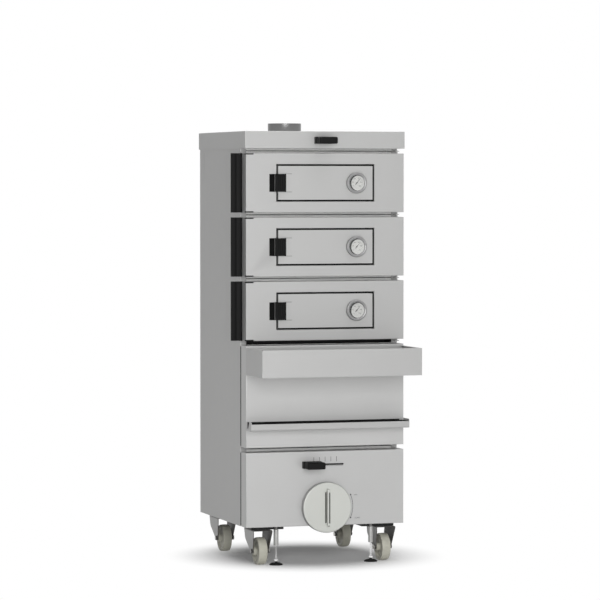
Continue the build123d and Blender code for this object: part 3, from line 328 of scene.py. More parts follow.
acrossGrain = (25.0, 25.0, 1400.0)     # streaks that run level
uprightGrain = (1400.0, 1400.0, 25.0)  # streaks that run up and down
looks = {
    "front": sheetSteel("frontSteel", (0.505, 0.505, 0.50), acrossGrain),
    "side": sheetSteel("sideSteel", (0.50, 0.50, 0.495), (1400.0, 25.0, 25.0)),
    "cap": sheetSteel("capSteel", (0.505, 0.505, 0.50), acrossGrain),
    # The fire and ash fronts are the front steel made lighter: painted light against the shade under the shelf
    # and round the handle
    "lower": sheetSteel("lowerSteelPaintedLight", (0.57, 0.57, 0.565), acrossGrain),
    # The frames are the front steel made much lighter: painted light against the shade in the gaps between
    # doors and drawers
    "frame": sheetSteel("frameSteelPaintedLight", (0.86, 0.86, 0.85), acrossGrain),
    # The flue collar's steel is made dark: painted shade for the polished tube's dark reflections
    "flue": sheetSteel("flueSteelPaintedShade", (0.20, 0.20, 0.20), (25.0, 25.0, 900.0), 0.30, metallic=0.5),
    "inner": sheetSteel("innerSteel", (0.24, 0.23, 0.215), acrossGrain, 0.5, 0.2, 0.5, 0.1, 0.6),
    "knob": sheetSteel("knobMetal", (0.645, 0.655, 0.62), uprightGrain, 0.4),
    "bezel": sheetSteel("bezelMetal", (0.30, 0.30, 0.30), (300.0, 300.0, 300.0), 0.3, metallic=0.5),
    "bright": sheetSteel("brightZinc", (0.62, 0.61, 0.58), (90.0, 90.0, 90.0), 0.32, 0.1, 0.1, 0.2, 0.8),
    "wire": plainSurface("gridWire", (0.55, 0.54, 0.52), 0.28, 400.0, 0.1, 0.05, 0.9),
    "iron": plainSurface("grateIron", (0.030, 0.029, 0.028), 0.7, 500.0, 0.3, 0.6),
    "enamel": plainSurface("blackEnamel", (0.010, 0.010, 0.010), 0.55, 900.0, 0.1, 0.1, worn=0.1),
    # Black for the finger cups, leaf seals and edging, and painted shade for the trough, seams, notches, slot
    # edges, knob lines and the thermometers' dark disc
    "dark": plainSurface("blackAndPaintedShade", (0.006, 0.006, 0.006), 0.8, 900.0, 0.15, 0.1, specular=0.15),
    "grip": plainSurface("gripPlastic", (0.009, 0.009, 0.009), 0.55, 1400.0, 0.2, 0.12, worn=0.08,
                         wornColor=(0.05, 0.05, 0.05, 1), specular=0.10),
    "gasket": ropeSurface("gasketRope", (0.030, 0.029, 0.027), 700.0, 0.6, 0.6),
    "wool": ropeSurface("mineralWool", (0.085, 0.080, 0.065), 90.0, 0.25, 0.8),
    # Painted shade for the forks' front and inner faces
    "forkPaintedShade": plainSurface("forkShade", (0.085, 0.08, 0.075), 0.5, 90.0, 0.3, 0.08, 0.3),
    "zinc": plainSurface("casterZinc", (0.30, 0.30, 0.295), 0.42, 90.0, 0.3, 0.08, 0.6, 0.25),
    "nylon": plainSurface("wheelNylon", (0.56, 0.55, 0.47), 0.45, 600.0, 0.12, 0.06),
    "rod": plainSurface("rodZinc", (0.95, 0.95, 0.94), 0.22, 90.0, 0.05, 0.03, 1.0),
    "sleeve": plainSurface("sleeveZinc", (0.44, 0.44, 0.43), 0.4, 90.0, 0.2, 0.05, 0.3),
    "rubber": plainSurface("padRubber", (0.012, 0.012, 0.012), 0.6, 900.0, 0.2, 0.15, specular=0.2),
    "needle": plainSurface("needlePaint", (0.02, 0.02, 0.02), 0.4),
    "dial": plainSurface("dialFace", (0.70, 0.70, 0.68), 0.5, 500.0, 0.1, 0.05),
    "ink": plainSurface("printedInk", (0.030, 0.030, 0.032), 0.6, 900.0, 0.2, 0.05, specular=0.2),
    "glass": clearGlass("gaugeGlass", 0.10),
}
nodeLooks = {
    "frame": ["front_frames"],
    "front": ["hinge_brackets"],
    "side": ["side_panel_left", "side_panel_right", "back_panel", "floor_pan"],
    "inner": ["flue_duct", "fire_casing", "chamber_casing", "chamber_floors", "rack_rails", "drawer_runners",
              "charcoal_basket", "ash_pan", "air_rotor", "damper_blade"],
    "iron": ["charcoal_grate"],
    "enamel": ["slot_channel", "air_shutter"],
    "needle": ["needle_" + name for name in doorNames],
}
for look, members in nodeLooks.items():
    for name in members:
        nodes[name].data.materials.clear()
        nodes[name].data.materials.append(looks[look])
print("materials given to", sum(len(members) for members in nodeLooks.values()), "nodes")


# Handling of pieces: each is started, shaped, and finished by one of these
def calm():
    active = bpy.context.view_layer.objects.active
    if active and active.mode != "OBJECT":
        bpy.ops.object.mode_set(mode="OBJECT")
    bpy.ops.object.select_all(action="DESELECT")


def takeUp(piece):
    calm()
    piece.select_set(True)
    bpy.context.view_layer.objects.active = piece
    return piece


def settle(piece):
    takeUp(piece)
    bpy.ops.object.transform_apply(location=True, rotation=True, scale=True)
    return piece


def boxStart(name, low, high):
    calm()
    bpy.ops.mesh.primitive_cube_add(size=1.0, location=between(low, high))
    piece = bpy.context.object
    piece.name = name
    piece.scale = [b - a for a, b in zip(low, high)]
    return settle(piece)


turns = {"front": (math.pi / 2, 0, 0), "up": (0, 0, 0), "side": (0, math.pi / 2, 0)}


def discStart(name, place, radius, facing="front", sides=48):
    calm()
    bpy.ops.mesh.primitive_circle_add(vertices=sides, radius=radius, fill_type="NGON", location=place,
                                      rotation=turns[facing])
    bpy.context.object.name = name
    return settle(bpy.context.object)


def rodStart(name, place, radius, length, facing="up", sides=32):
    calm()
    bpy.ops.mesh.primitive_cylinder_add(vertices=sides, radius=radius, depth=length, location=place,
                                        rotation=turns[facing])
    bpy.context.object.name = name
    return settle(bpy.context.object)


def openAll(piece):
    # Leaves edit mode on, with everything selected
    takeUp(piece)
    bpy.ops.object.mode_set(mode="EDIT")
    bpy.ops.mesh.select_all(action="SELECT")
    return piece


def pickFaces(piece, test):
    # Leaves edit mode on, with the faces selected whose middle and normal pass the test
    takeUp(piece)
    bpy.ops.object.mode_set(mode="EDIT")
    bpy.ops.mesh.select_mode(type="FACE")
    bpy.ops.mesh.select_all(action="DESELECT")
    bpy.ops.object.mode_set(mode="OBJECT")
    for face in piece.data.polygons:
        face.select = bool(test(face.center, face.normal))
    bpy.ops.object.mode_set(mode="EDIT")


def leaveEdit():
    bpy.ops.object.mode_set(mode="OBJECT")


def dropFaces(piece, test):
    pickFaces(piece, test)
    bpy.ops.mesh.delete(type="FACE")
    leaveEdit()


def pushFaces(piece, test, shift, inset=0.0):
    pickFaces(piece, test)
    if inset:
        bpy.ops.mesh.inset(thickness=inset)
    bpy.ops.mesh.extrude_region_move(TRANSFORM_OT_translate={"value": shift})
    leaveEdit()


def sliceAt(piece, axis, places):
    takeUp(piece)
    bpy.ops.object.mode_set(mode="EDIT")
    for place in places:
        bpy.ops.mesh.select_all(action="SELECT")
        point = [place if index == axis else 0.0 for index in range(3)]
        normal = [1.0 if index == axis else 0.0 for index in range(3)]
        bpy.ops.mesh.bisect(plane_co=point, plane_no=normal)
    leaveEdit()


def cleanUp(piece, flatten=False):
    openAll(piece)
    bpy.ops.mesh.remove_doubles(threshold=0.00001)
    if flatten:
        bpy.ops.mesh.dissolve_limited(angle_limit=math.radians(1.0))
    bpy.ops.mesh.normals_make_consistent(inside=False)
    leaveEdit()
    return piece


def useModifier(piece, kind, **values):
    takeUp(piece)
    modifier = piece.modifiers.new(kind.lower(), kind)
    for label, value in values.items():
        setattr(modifier, label, value)
    bpy.ops.object.modifier_apply(modifier=modifier.name)
    return piece


def roundEdges(piece, width, steps=3, angle=30.0):
    return useModifier(piece, "BEVEL", width=width, segments=steps, limit_method="ANGLE",
                       angle_limit=math.radians(angle), harden_normals=False)


def thicken(piece, thickness):
    return useModifier(piece, "SOLIDIFY", thickness=thickness, offset=-1.0, use_even_offset=True)


def copyOf(piece, name, shift):
    twin = piece.copy()
    twin.data = piece.data.copy()
    twin.name = name
    bpy.context.scene.collection.objects.link(twin)
    twin.data.transform(Matrix.Translation(shift))
    return twin


def joinAll(pieces, name):
    takeUp(pieces[0])
    for piece in pieces[1:]:
        piece.select_set(True)
    bpy.ops.object.join()
    bpy.context.object.name = name
    return bpy.context.object


def roundedBars(name, spans, width, steps=1):
    # Boxes between pairs of corners, their edges rounded, as one piece
    return joinAll([roundEdges(boxStart("bar", low, high), width, steps) for low, high in spans], name)


def spread(low, high, count):
    return [low + (high - low) * index / (count - 1) for index in range(count)]


def writing(name, words, place, size, raised):
    calm()
    bpy.ops.object.text_add(location=(0, 0, 0))
    text = bpy.context.object
    text.data.body = words
    text.data.size = size
    text.data.extrude = raised
    text.data.align_x = "CENTER"
    text.data.align_y = "CENTER"
    bpy.ops.object.convert(target="MESH")
    text = bpy.context.object
    text.name = name
    text.rotation_euler = turns["front"]
    text.location = place
    return settle(text)


def nodeCopy(node, name, flatten=False):
    # A merged copy of a CAD node, to be smoothed or split
    piece = nodes[node].copy()
    piece.data = nodes[node].data.copy()
    for key in list(piece.keys()):
        del piece[key]
    piece.parent = None
    piece.name = name
    bpy.context.scene.collection.objects.link(piece)
    return cleanUp(piece, flatten)


bodyOf = {name: nodes[name]["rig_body"] for name in nodes}
dropOf = {name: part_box("door_" + name)[0][2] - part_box("door_upper")[0][2] for name in doorNames}


def finishPiece(piece, look, body, replaced=(), angle=35.0):
    takeUp(piece)
    bpy.ops.object.shade_smooth_by_angle(angle=math.radians(angle))
    useModifier(piece, "WEIGHTED_NORMAL", keep_sharp=True, weight=95)
    piece.data.materials.clear()
    piece.data.materials.append(looks[look])
    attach(piece, body)
    if replaced:
        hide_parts(*replaced)
    return piece


def secondLook(piece, look, test):
    piece.data.materials.append(looks[look])
    for face in piece.data.polygons:
        face.material_index = 1 if test(face.center, face.normal) else 0


# Merged, smooth copies of the CAD parts that show
smoothNodes = {
    "front": ["shelf_tray", "bar_handle"] + ["door_" + name for name in doorNames]
             + ["inspection_door_" + name for name in doorNames],
    "lower": ["fire_front", "ash_front"],
    "cap": ["top_cap"],
    "flue": ["flue_collar"],
    "knob": ["air_knob"],
    "bezel": ["thermometer_" + name for name in doorNames],
    "grip": ["door_grip_" + name for name in doorNames],
    "zinc": ["caster_fork_" + name for name in casterNames],
    "nylon": ["caster_wheel_" + name for name in casterNames],
    "wire": ["cooking_grids"],
}
for look, members in smoothNodes.items():
    for node in members:
        flatten = look in ("front", "lower", "cap", "knob")
        finishPiece(nodeCopy(node, node + "_smooth", flatten), look, bodyOf[node], (node,), 30.0)
for name in casterNames:
    # The forks get painted shade on their faces towards the front and the inside
    across = middleOf("caster_fork_" + name)[0]
    secondLook(bpy.data.objects["caster_fork_" + name + "_smooth"], "forkPaintedShade",
               lambda middle, normal: normal.y < -0.5
               or normal.x * (across - middle.x) > 0.0 and abs(normal.x) > 0.5)
# The knob's skirt gets painted shade, darker than its face: the faces that look sideways, outside the rib
knobMiddle = middleOf("air_knob")
skirtRadius = 0.085
secondLook(bpy.data.objects["air_knob_smooth"], "bezel", lambda middle, normal: abs(normal.y) < 0.5
           and math.hypot(middle.x - knobMiddle[0], middle.z - knobMiddle[2]) > skirtRadius)
print("smooth copies made of", sum(len(members) for members in smoothNodes.values()), "nodes")

# Thermometers: a dark disc behind the face that shows as a crescent of painted shadow at its left, the face,
# scale, numbers and lens, made for the upper door and copied down
needleLow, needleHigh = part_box("needle_upper")
caseMiddle = middleOf("thermometer_upper")
gauge = {
    "place": (caseMiddle[0], needleHigh[1], caseMiddle[2]),
    "backing": 0.0288, "backingBehind": 0.00032, "backingRise": 0.00003, "rim": 0.0004,
    "faceHalf": (0.0248, 0.0270), "faceShift": 0.0039, "faceTurn": 12.0, "faceBehind": 0.00022,
    "faceRise": 0.00002, "markRise": 0.00003, "numberRaised": 0.00002,
    "marksBehind": 0.00014, "markCount": 31, "markSweep": 270.0, "markRadius": 0.0222,
    "markLong": 0.0036, "markShort": 0.0021, "markWidth": 0.00045,
    "numbers": ["0", "100", "200", "300", "400", "500"], "numberRadius": 0.0160, "numberSize": 0.0046,
    "lens": 0.0286, "lensInFront": 0.0016, "lensStep": 0.0003, "lensInsets": (0.0040, 0.0060),
    "lensMiddle": 0.001,
}


def makeGauge():
    x, y, z = gauge["place"]
    backing = discStart("gaugeShadowDisc", (x, y + gauge["backingBehind"], z), gauge["backing"])
    pushFaces(backing, lambda middle, normal: True, (0, -gauge["backingRise"], 0), gauge["rim"])
    # The face sits off to the right, so the dark disc behind it shows at its left as a crescent of painted
    # shadow
    face = discStart("gaugeFace", (0, 0, 0), 1.0)
    face.scale = (gauge["faceHalf"][0], 1.0, gauge["faceHalf"][1])
    face.rotation_euler = (0, math.radians(gauge["faceTurn"]), 0)
    lean = math.radians(gauge["faceTurn"])
    face.location = (x + gauge["faceShift"] * math.cos(lean), y + gauge["faceBehind"],
                     z - gauge["faceShift"] * math.sin(lean))
    settle(face)
    pushFaces(face, lambda middle, normal: True, (0, -gauge["faceRise"], 0), gauge["rim"])
    marks = []
    for index in range(gauge["markCount"]):
        length = gauge["markLong"] if index % 5 == 0 else gauge["markShort"]
        lift = y + gauge["marksBehind"]
        low = (x - gauge["markWidth"] / 2, lift, z + gauge["markRadius"] - length)
        high = (x + gauge["markWidth"] / 2, lift + gauge["markRise"], z + gauge["markRadius"])
        mark = boxStart("mark", low, high)
        angle = math.radians(gauge["markSweep"] * (index / (gauge["markCount"] - 1) - 0.5))
        centre = Matrix.Translation((x, y, z))
        mark.data.transform(centre @ Matrix.Rotation(angle, 4, "Y") @ centre.inverted())
        marks.append(mark)
    for index, number in enumerate(gauge["numbers"]):
        angle = math.radians(gauge["markSweep"] * (index / (len(gauge["numbers"]) - 1) - 0.5))
        spot = (x + gauge["numberRadius"] * math.sin(angle), y + gauge["marksBehind"],
                z + gauge["numberRadius"] * math.cos(angle))
        marks.append(writing("number", number, spot, gauge["numberSize"], gauge["numberRaised"]))
    scale = joinAll(marks, "gaugeScale")
    lens = discStart("gaugeLens", (x, needleLow[1] - gauge["lensInFront"], z), gauge["lens"])
    step = (0, -gauge["lensStep"], 0)
    pushFaces(lens, lambda middle, normal: True, step, gauge["lensInsets"][0])
    pushFaces(lens, lambda middle, normal: math.hypot(middle.x - x, middle.z - z) < gauge["lensMiddle"],
              step, gauge["lensInsets"][1])
    return {"gaugeShadowDisc": backing, "gaugeFace": face, "gaugeScale": scale, "gaugeLens": lens}


gaugeLooks = {"gaugeShadowDisc": "dark", "gaugeFace": "dial", "gaugeScale": "ink", "gaugeLens": "glass"}
gaugeParts = makeGauge()
for name in doorNames:
    for part, piece in gaugeParts.items():
        twin = copyOf(piece, part + "_" + name, (0, 0, dropOf[name]))
        finishPiece(twin, gaugeLooks[part], "inspection_" + name)
for piece in gaugeParts.values():
    bpy.data.objects.remove(piece)
print("thermometers finished")

# Finger cups, seals and latches of the inspection doors
leafLow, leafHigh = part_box("inspection_door_upper")
latchLow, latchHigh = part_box("latch_grip_upper")
cup = {"left": -0.1934, "right": -0.1682, "low": 0.0749, "high": 0.1386, "front": -0.2032, "back": -0.1838,
       "wall": 0.0008}
seal = {"width": 0.0035, "front": 0.0030, "back": 0.0180, "hingeBack": 0.0080, "hingeReach": 0.016,
        "gap": 0.0002, "round": 0.0006}
border = {"width": 0.0021, "proud": 0.0002, "round": 0.0001}
latch = {"gripRight": -0.13375, "rise": 0.0120, "grooves": 4, "grooveDepth": 0.0034, "grooveEnd": 0.004,
         "edge": 0.0022 / 3, "plateThickness": 0.0006, "plateEdge": 0.0002, "lineHeight": 0.0012,
         "lineInset": 0.002, "lineEdge": 0.0001, "rivet": 0.0026, "rivetRise": 0.0009, "rivetEdge": 0.0005,
         "rivetFromEnd": 0.0090, "rivetFromSide": 0.0085}


def makeCup():
    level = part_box("door_upper")[0][2]
    piece = boxStart("fingerCup", (cup["left"], cup["front"], level + cup["low"]),
                     (cup["right"], cup["back"], level + cup["high"]))
    dropFaces(piece, lambda middle, normal: normal.y < -0.5 or normal.x > 0.5)
    return thicken(piece, cup["wall"])


def makeSeal():
    width, gap = seal["width"], seal["gap"]
    front, back = leafLow[1] + seal["front"], leafLow[1] + seal["back"]
    hinge = leafLow[1] + seal["hingeBack"]
    turn = leafHigh[0] - seal["hingeReach"]     # from here to the hinge the seal is shallower
    bottom, top = leafLow[2] - width, leafHigh[2] + width
    level = [((left, front, low), (right, depth, high))
             for left, right, depth in ((leafLow[0] - gap, turn, back), (turn, leafHigh[0] + gap, hinge))
             for low, high in ((bottom, leafLow[2] - gap), (leafHigh[2] + gap, top))]
    spans = [((leafLow[0] - width, front, bottom), (leafLow[0] - gap, back, top)), *level,
             ((leafHigh[0] + gap, front, bottom), (leafHigh[0] + width, hinge, top))]
    return roundedBars("leafSeal", spans, seal["round"], 2)


def makeBorder():
    # Black edging on the leaf's front, flush with its sides
    width = border["width"]
    front, back = leafLow[1] - border["proud"], leafLow[1] + border["proud"]
    spans = (
        ((leafLow[0], front, leafLow[2]), (leafHigh[0], back, leafLow[2] + width)),
        ((leafLow[0], front, leafHigh[2] - width), (leafHigh[0], back, leafHigh[2])),
        ((leafLow[0], front, leafLow[2] + width), (leafLow[0] + width, back, leafHigh[2] - width)),
        ((leafHigh[0] - width, front, leafLow[2] + width), (leafHigh[0], back, leafHigh[2] - width)))
    return roundedBars("leafBorder", spans, border["round"])


def makeLatch():
    front = latchHigh[1] - latch["rise"]
    grip = boxStart("latchGrip", (latchLow[0], front, latchLow[2]),
                    (latch["gripRight"], latchHigh[1], latchHigh[2]))
    count = latch["grooves"] * 2 + 1
    step = (latch["gripRight"] - latchLow[0]) / count
    sliceAt(grip, 0, [latchLow[0] + step * index for index in range(1, count)])
    inner = (latchLow[2] + latch["grooveEnd"], latchHigh[2] - latch["grooveEnd"])
    sliceAt(grip, 2, inner)
    pushFaces(grip, lambda middle, normal: normal.y < -0.5 and inner[0] < middle.z < inner[1]
              and int((middle.x - latchLow[0]) / step) % 2 == 1, (0, latch["grooveDepth"], 0))
    cleanUp(grip)
    return roundEdges(grip, latch["edge"], 2, 50.0)


def makeLatchPlate():
    plate = boxStart("latchPlate", (latch["gripRight"], latchHigh[1] - latch["plateThickness"], latchLow[2]),
                     (latchHigh[0], latchHigh[1], latchHigh[2]))
    roundEdges(plate, latch["plateEdge"], 1)
    rivets = []
    for height in (latchLow[2] + latch["rivetFromEnd"], latchHigh[2] - latch["rivetFromEnd"]):
        place = (latchHigh[0] - latch["rivetFromSide"],
                 latchHigh[1] - latch["plateThickness"] - latch["rivetRise"] / 2, height)
        rivet = rodStart("rivet", place, latch["rivet"], latch["rivetRise"], "front", 20)
        rivets.append(roundEdges(rivet, latch["rivetEdge"], 2, 60.0))
    return joinAll([plate] + rivets, "latchPlate")


def makeLatchShadowLines():
    # Painted shadow lines above and below the latch plate
    spans = [((latch["gripRight"] - latch["lineInset"], latchHigh[1] - latch["plateThickness"] / 2, height),
              (latchHigh[0] - latch["lineInset"], latchHigh[1], height + latch["lineHeight"]))
             for height in (latchLow[2] - latch["lineHeight"], latchHigh[2])]
    return roundedBars("latchShadowLines", spans, latch["lineEdge"])


leafParts = {"fingerCup": (makeCup(), "dark", "door_", "black_grip", False),
             "leafSeal": (makeSeal(), "dark", "inspection_", "gasket_rope", False),
             "leafBorder": (makeBorder(), "dark", "inspection_", "gasket_rope", False),
             "latchGrip": (makeLatch(), "grip", "inspection_", "black_grip", True),
             "latchShadowLines": (makeLatchShadowLines(), "iron", "inspection_", "black_grip", False),
             "latchPlate": (makeLatchPlate(), "front", "inspection_", "brushed_panel", True)}
for name in doorNames:
    for part, (piece, look, body, slot, replacing) in leafParts.items():
        twin = copyOf(piece, part + "_" + name, (0, 0, dropOf[name]))
        finishPiece(twin, look, body + name, ("latch_grip_" + name,) if replacing else ())
for piece, *rest in leafParts.values():
    bpy.data.objects.remove(piece)
print("cups, seals and latches finished")

# Black sheet in the handle's trough: painted shade for the trough's dark inside
handleLow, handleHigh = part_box("bar_handle")
troughShade = {"sheet": 0.0022, "wall": 0.0008, "floor": 0.0026, "top": 0.0245, "play": 0.0002, "edge": 0.0002}


def makeTroughShade():
    low = (handleLow[0] + troughShade["sheet"] + troughShade["play"], handleLow[1] + troughShade["sheet"],
           handleLow[2] + troughShade["floor"])
    high = (handleHigh[0] - troughShade["sheet"] - troughShade["play"], handleHigh[1] - troughShade["sheet"],
            handleLow[2] + troughShade["top"])
    piece = boxStart("troughPaintedShade", low, high)
    dropFaces(piece, lambda middle, normal: normal.z > 0.5)
    thicken(piece, troughShade["wall"])
    return roundEdges(piece, troughShade["edge"], 1, 60.0)


finishPiece(makeTroughShade(), "dark", "fire_drawer")

# Black strips of painted shade: over the trough on the fire front, and in the seams behind the drawers' side
# edges
fireLow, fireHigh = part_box("fire_front")
ashLow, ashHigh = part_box("ash_front")
strips = {"depth": 0.0007, "overLow": 0.0232, "overHigh": 0.0285, "overLeft": 0.004, "overRight": 0.016,
          "overEdge": 0.0002, "seamBack": -0.1297, "seamDepth": 0.0100, "seamWidth": 0.0120,
          "seamEdge": 0.0008, "fromEdge": 0.0001, "fromEnd": 0.0040}
shadeOverTrough = boxStart("troughShadowStrip", (handleLow[0] + strips["overLeft"], handleHigh[1] - strips["depth"],
                                      handleLow[2] + strips["overLow"]),
                      (handleHigh[0] - strips["overRight"], handleHigh[1], handleLow[2] + strips["overHigh"]))
finishPiece(roundEdges(shadeOverTrough, strips["overEdge"], 1), "dark", "fire_drawer")
spans = [((left, strips["seamBack"] - strips["seamDepth"], low[2] + strips["fromEnd"]),
          (left + strips["seamWidth"], strips["seamBack"], high[2] - strips["fromEnd"]))
         for low, high in ((fireLow, fireHigh), (ashLow, ashHigh))
         for left in (low[0] + strips["fromEdge"], high[0] - strips["fromEdge"] - strips["seamWidth"])]
finishPiece(roundedBars("seamShadowStrips", spans, strips["seamEdge"], 2), "dark", "cabinet")

# Dark pieces of painted shadow in the notches at the doors' left corners
notch = {"inset": 0.0006, "front": 0.002, "width": 0.0284, "depth": 0.0214, "height": 0.0042, "edge": 0.0004}
for name in doorNames:
    low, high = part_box("door_" + name)
    spans = [((low[0] + notch["inset"], low[1] + notch["front"], bottom),
              (low[0] + notch["width"], low[1] + notch["depth"], bottom + notch["height"]))
             for bottom in (low[2] + notch["inset"], high[2] - notch["inset"] - notch["height"])]
    notchShadow = roundedBars("notchPaintedShadow_" + name, spans, notch["edge"])
    finishPiece(notchShadow, "dark", "door_" + name)

# Black edges of painted shade along the air slot
slotShade = {"middle": 0.3620, "half": 0.00290, "height": 0.0009, "proud": 0.0002, "depth": 0.0012,
            "fromGrip": 0.006, "end": 0.0850, "edge": 0.0002}
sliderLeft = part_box("air_slider_grip")[0][0]
spans = [((sliderLeft + slotShade["fromGrip"], ashLow[1] - slotShade["proud"], bottom),
          (slotShade["end"], ashLow[1] + slotShade["depth"], bottom + slotShade["height"]))
         for bottom in (slotShade["middle"] - slotShade["half"] - slotShade["height"],
                        slotShade["middle"] + slotShade["half"])]
finishPiece(roundedBars("slotEdges", spans, slotShade["edge"]), "dark", "ash_drawer")

# Strip of sheet that closes the gap between the upper frame and the cap
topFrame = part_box("front_frames")[1]
capStrip = {"over": 0.0030, "under": 0.0003, "front": -0.1294, "back": -0.1280, "inset": 0.0040,
            "edge": 0.0003}
closing = boxStart("capStrip",
                   (fireLow[0] + capStrip["inset"], capStrip["front"], topFrame[2] + capStrip["over"]),
                   (fireHigh[0] - capStrip["inset"], capStrip["back"],
                    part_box("top_cap")[0][2] - capStrip["under"]))
finishPiece(roundEdges(closing, capStrip["edge"], 2), "frame", "cabinet")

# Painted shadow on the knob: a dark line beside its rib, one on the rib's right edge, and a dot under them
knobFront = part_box("air_knob")[0][1]
knobShadowLines = {"faceBehind": 0.0190, "ribHalf": 0.0045, "reach": 0.0560, "width": 0.0045, "lift": 0.0002,
             "inRib": (0.0000, 0.0040), "depth": 0.0012, "edge": 0.0004, "dot": 0.0019, "dotDown": 0.0650,
             "dotLeft": 0.0006, "dotIn": 0.0004, "dotEdge": 0.0003}
middleX, middleZ = knobMiddle[0], knobMiddle[2]
faceY = knobFront + knobShadowLines["faceBehind"]
besideRib = (-knobShadowLines["ribHalf"] - knobShadowLines["width"], -knobShadowLines["ribHalf"])
knobShadows = []
for (left, right), front in ((besideRib, faceY), (knobShadowLines["inRib"], knobFront)):
    line = boxStart("line", (middleX + left, front - knobShadowLines["lift"], middleZ - knobShadowLines["reach"]),
                    (middleX + right, front + knobShadowLines["depth"], middleZ + knobShadowLines["reach"]))
    knobShadows.append(roundEdges(line, knobShadowLines["edge"], 2))
dotPlace = (middleX - knobShadowLines["dotLeft"], knobFront + knobShadowLines["dotIn"], middleZ - knobShadowLines["dotDown"])
dot = rodStart("dot", dotPlace, knobShadowLines["dot"], knobShadowLines["depth"], "front", 20)
knobShadows.append(roundEdges(dot, knobShadowLines["dotEdge"], 2, 60.0))
finishPiece(joinAll(knobShadows, "knobShadowLines"), "dark", bodyOf["air_knob"])
# The trough, strip, notch, slot and knob pieces above are painted shade
print("handle liner, strips, linings and knob lines finished")

# Ribbed grips of the air slider and the damper
blockGrip = {"back": 0.0250, "neck": 0.0050, "neckHalf": 0.0075, "round": 0.0055, "ribs": 9,
             "ribDepth": 0.0009, "backRound": 0.0012, "overlap": 0.0005, "neckInset": 0.002,
             "ribsFromFront": 0.008, "ribsFromNeck": 0.007}


def makeBlockGrip(node):
    low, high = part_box(node)
    middle = middleOf(node)[2]
    back = boxStart("gripBack", (low[0], high[1] - blockGrip["back"], low[2]), high)
    roundEdges(back, blockGrip["backRound"], 3)
    overlap, inset = blockGrip["overlap"], blockGrip["neckInset"]
    neckBack = high[1] - blockGrip["back"] + overlap
    neckFront = high[1] - blockGrip["back"] - blockGrip["neck"] - overlap
    neck = boxStart("gripNeck", (low[0] + inset, neckFront, middle - blockGrip["neckHalf"]),
                    (high[0] - inset, neckBack, middle + blockGrip["neckHalf"]))
    sliceAt(neck, 1, [(neckFront + neckBack) / 2])
    front = boxStart("gripFront", low, (high[0], neckFront + overlap, high[2]))
    roundEdges(front, blockGrip["round"], 5)
    count = blockGrip["ribs"] * 2 + 1
    near, far = low[1] + blockGrip["ribsFromFront"], neckFront - blockGrip["ribsFromNeck"]
    step = (far - near) / count
    sliceAt(front, 1, [near + step * index for index in range(count + 1)])
    pickFaces(front, lambda spot, normal: abs(normal.z) > 0.9 and near < spot.y < far
              and int((spot.y - near) / step) % 2 == 1)
    bpy.ops.mesh.extrude_region_shrink_fatten(TRANSFORM_OT_shrink_fatten={"value": -blockGrip["ribDepth"]})
    leaveEdit()
    return joinAll([back, neck, front], node + "_ribbed")


for node in ("air_slider_grip", "damper_grip"):
    finishPiece(makeBlockGrip(node), "grip", bodyOf[node], (node,))
print("block grips finished")

# Mount bars and the sleeves of the levelling feet, parted from the CAD underframe
sleeveWidth = 0.030
wholeFrame = nodeCopy("underframe", "wholeFrame")
takeUp(wholeFrame)
bpy.ops.mesh.separate(type="LOOSE")
frameParts = list(bpy.context.selected_objects)
bars = [part for part in frameParts if part.dimensions.x > sleeveWidth]
sleeves = [part for part in frameParts if part.dimensions.x <= sleeveWidth]
finishPiece(joinAll(bars, "mountBars"), "enamel", "cabinet", ("underframe",))
finishPiece(joinAll(sleeves, "footSleeves"), "sleeve", "cabinet", ("underframe",))
print("underframe parted into", len(bars), "bars and", len(sleeves), "sleeves")

# Levelling feet: threaded rod, lock nut and pad
foot = {"core": 0.0042, "crest": 0.0049, "pitch": 0.0020, "flank": 0.4, "flat": 0.2, "rodLow": 0.0100,
        "topGap": 0.002, "nut": 0.0085, "nutHeight": 0.0060, "nutRise": 0.007, "nutEdge": 0.0006,
        "padOver": 0.002}


def makeFoot(side):
    low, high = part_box("levelling_foot_" + side)
    x, y = middleOf("levelling_foot_" + side)[:2]
    base = low[2] + foot["rodLow"]
    # One tooth of the thread, repeated up the rod
    calm()
    bpy.ops.mesh.primitive_circle_add(vertices=20, radius=foot["core"], location=(0, 0, 0))
    rod = bpy.context.object
    grow = foot["crest"] / foot["core"]
    pitch = foot["pitch"]
    openAll(rod)
    for rise, scale in ((foot["flank"], grow), (foot["flat"], 1.0), (foot["flank"], 1 / grow)):
        bpy.ops.mesh.extrude_region_move(TRANSFORM_OT_translate={"value": (0, 0, pitch * rise)})
        bpy.ops.transform.resize(value=(scale, scale, 1.0), center_override=(0, 0, 0))
    leaveEdit()
    teeth = int((high[2] - foot["topGap"] - base) / pitch)
    useModifier(rod, "ARRAY", count=teeth, use_relative_offset=False, use_constant_offset=True,
                constant_offset_displace=(0, 0, pitch), use_merge_vertices=True, merge_threshold=0.00005)
    openAll(rod)
    bpy.ops.mesh.fill_holes(sides=0)
    leaveEdit()
    rod.location = (x, y, base)
    settle(rod)
    cleanUp(rod)
    nut = rodStart("lockNut", (x, y, base + foot["nutRise"]), foot["nut"], foot["nutHeight"], "up", 6)
    roundEdges(nut, foot["nutEdge"], 2, 40.0)
    pad = openAll(nodeCopy("levelling_foot_" + side, "footPad_" + side, True))
    bpy.ops.mesh.bisect(plane_co=(0, 0, base + foot["padOver"]), plane_no=(0, 0, 1), clear_outer=True,
                        use_fill=True)
    leaveEdit()
    finishPiece(joinAll([rod, nut], "footRod_" + side), "rod", "foot_" + side,
                ("levelling_foot_" + side,))
    finishPiece(pad, "rubber", "foot_" + side, ("levelling_foot_" + side,))


for side in ("left", "right"):
    makeFoot(side)
print("levelling feet finished")

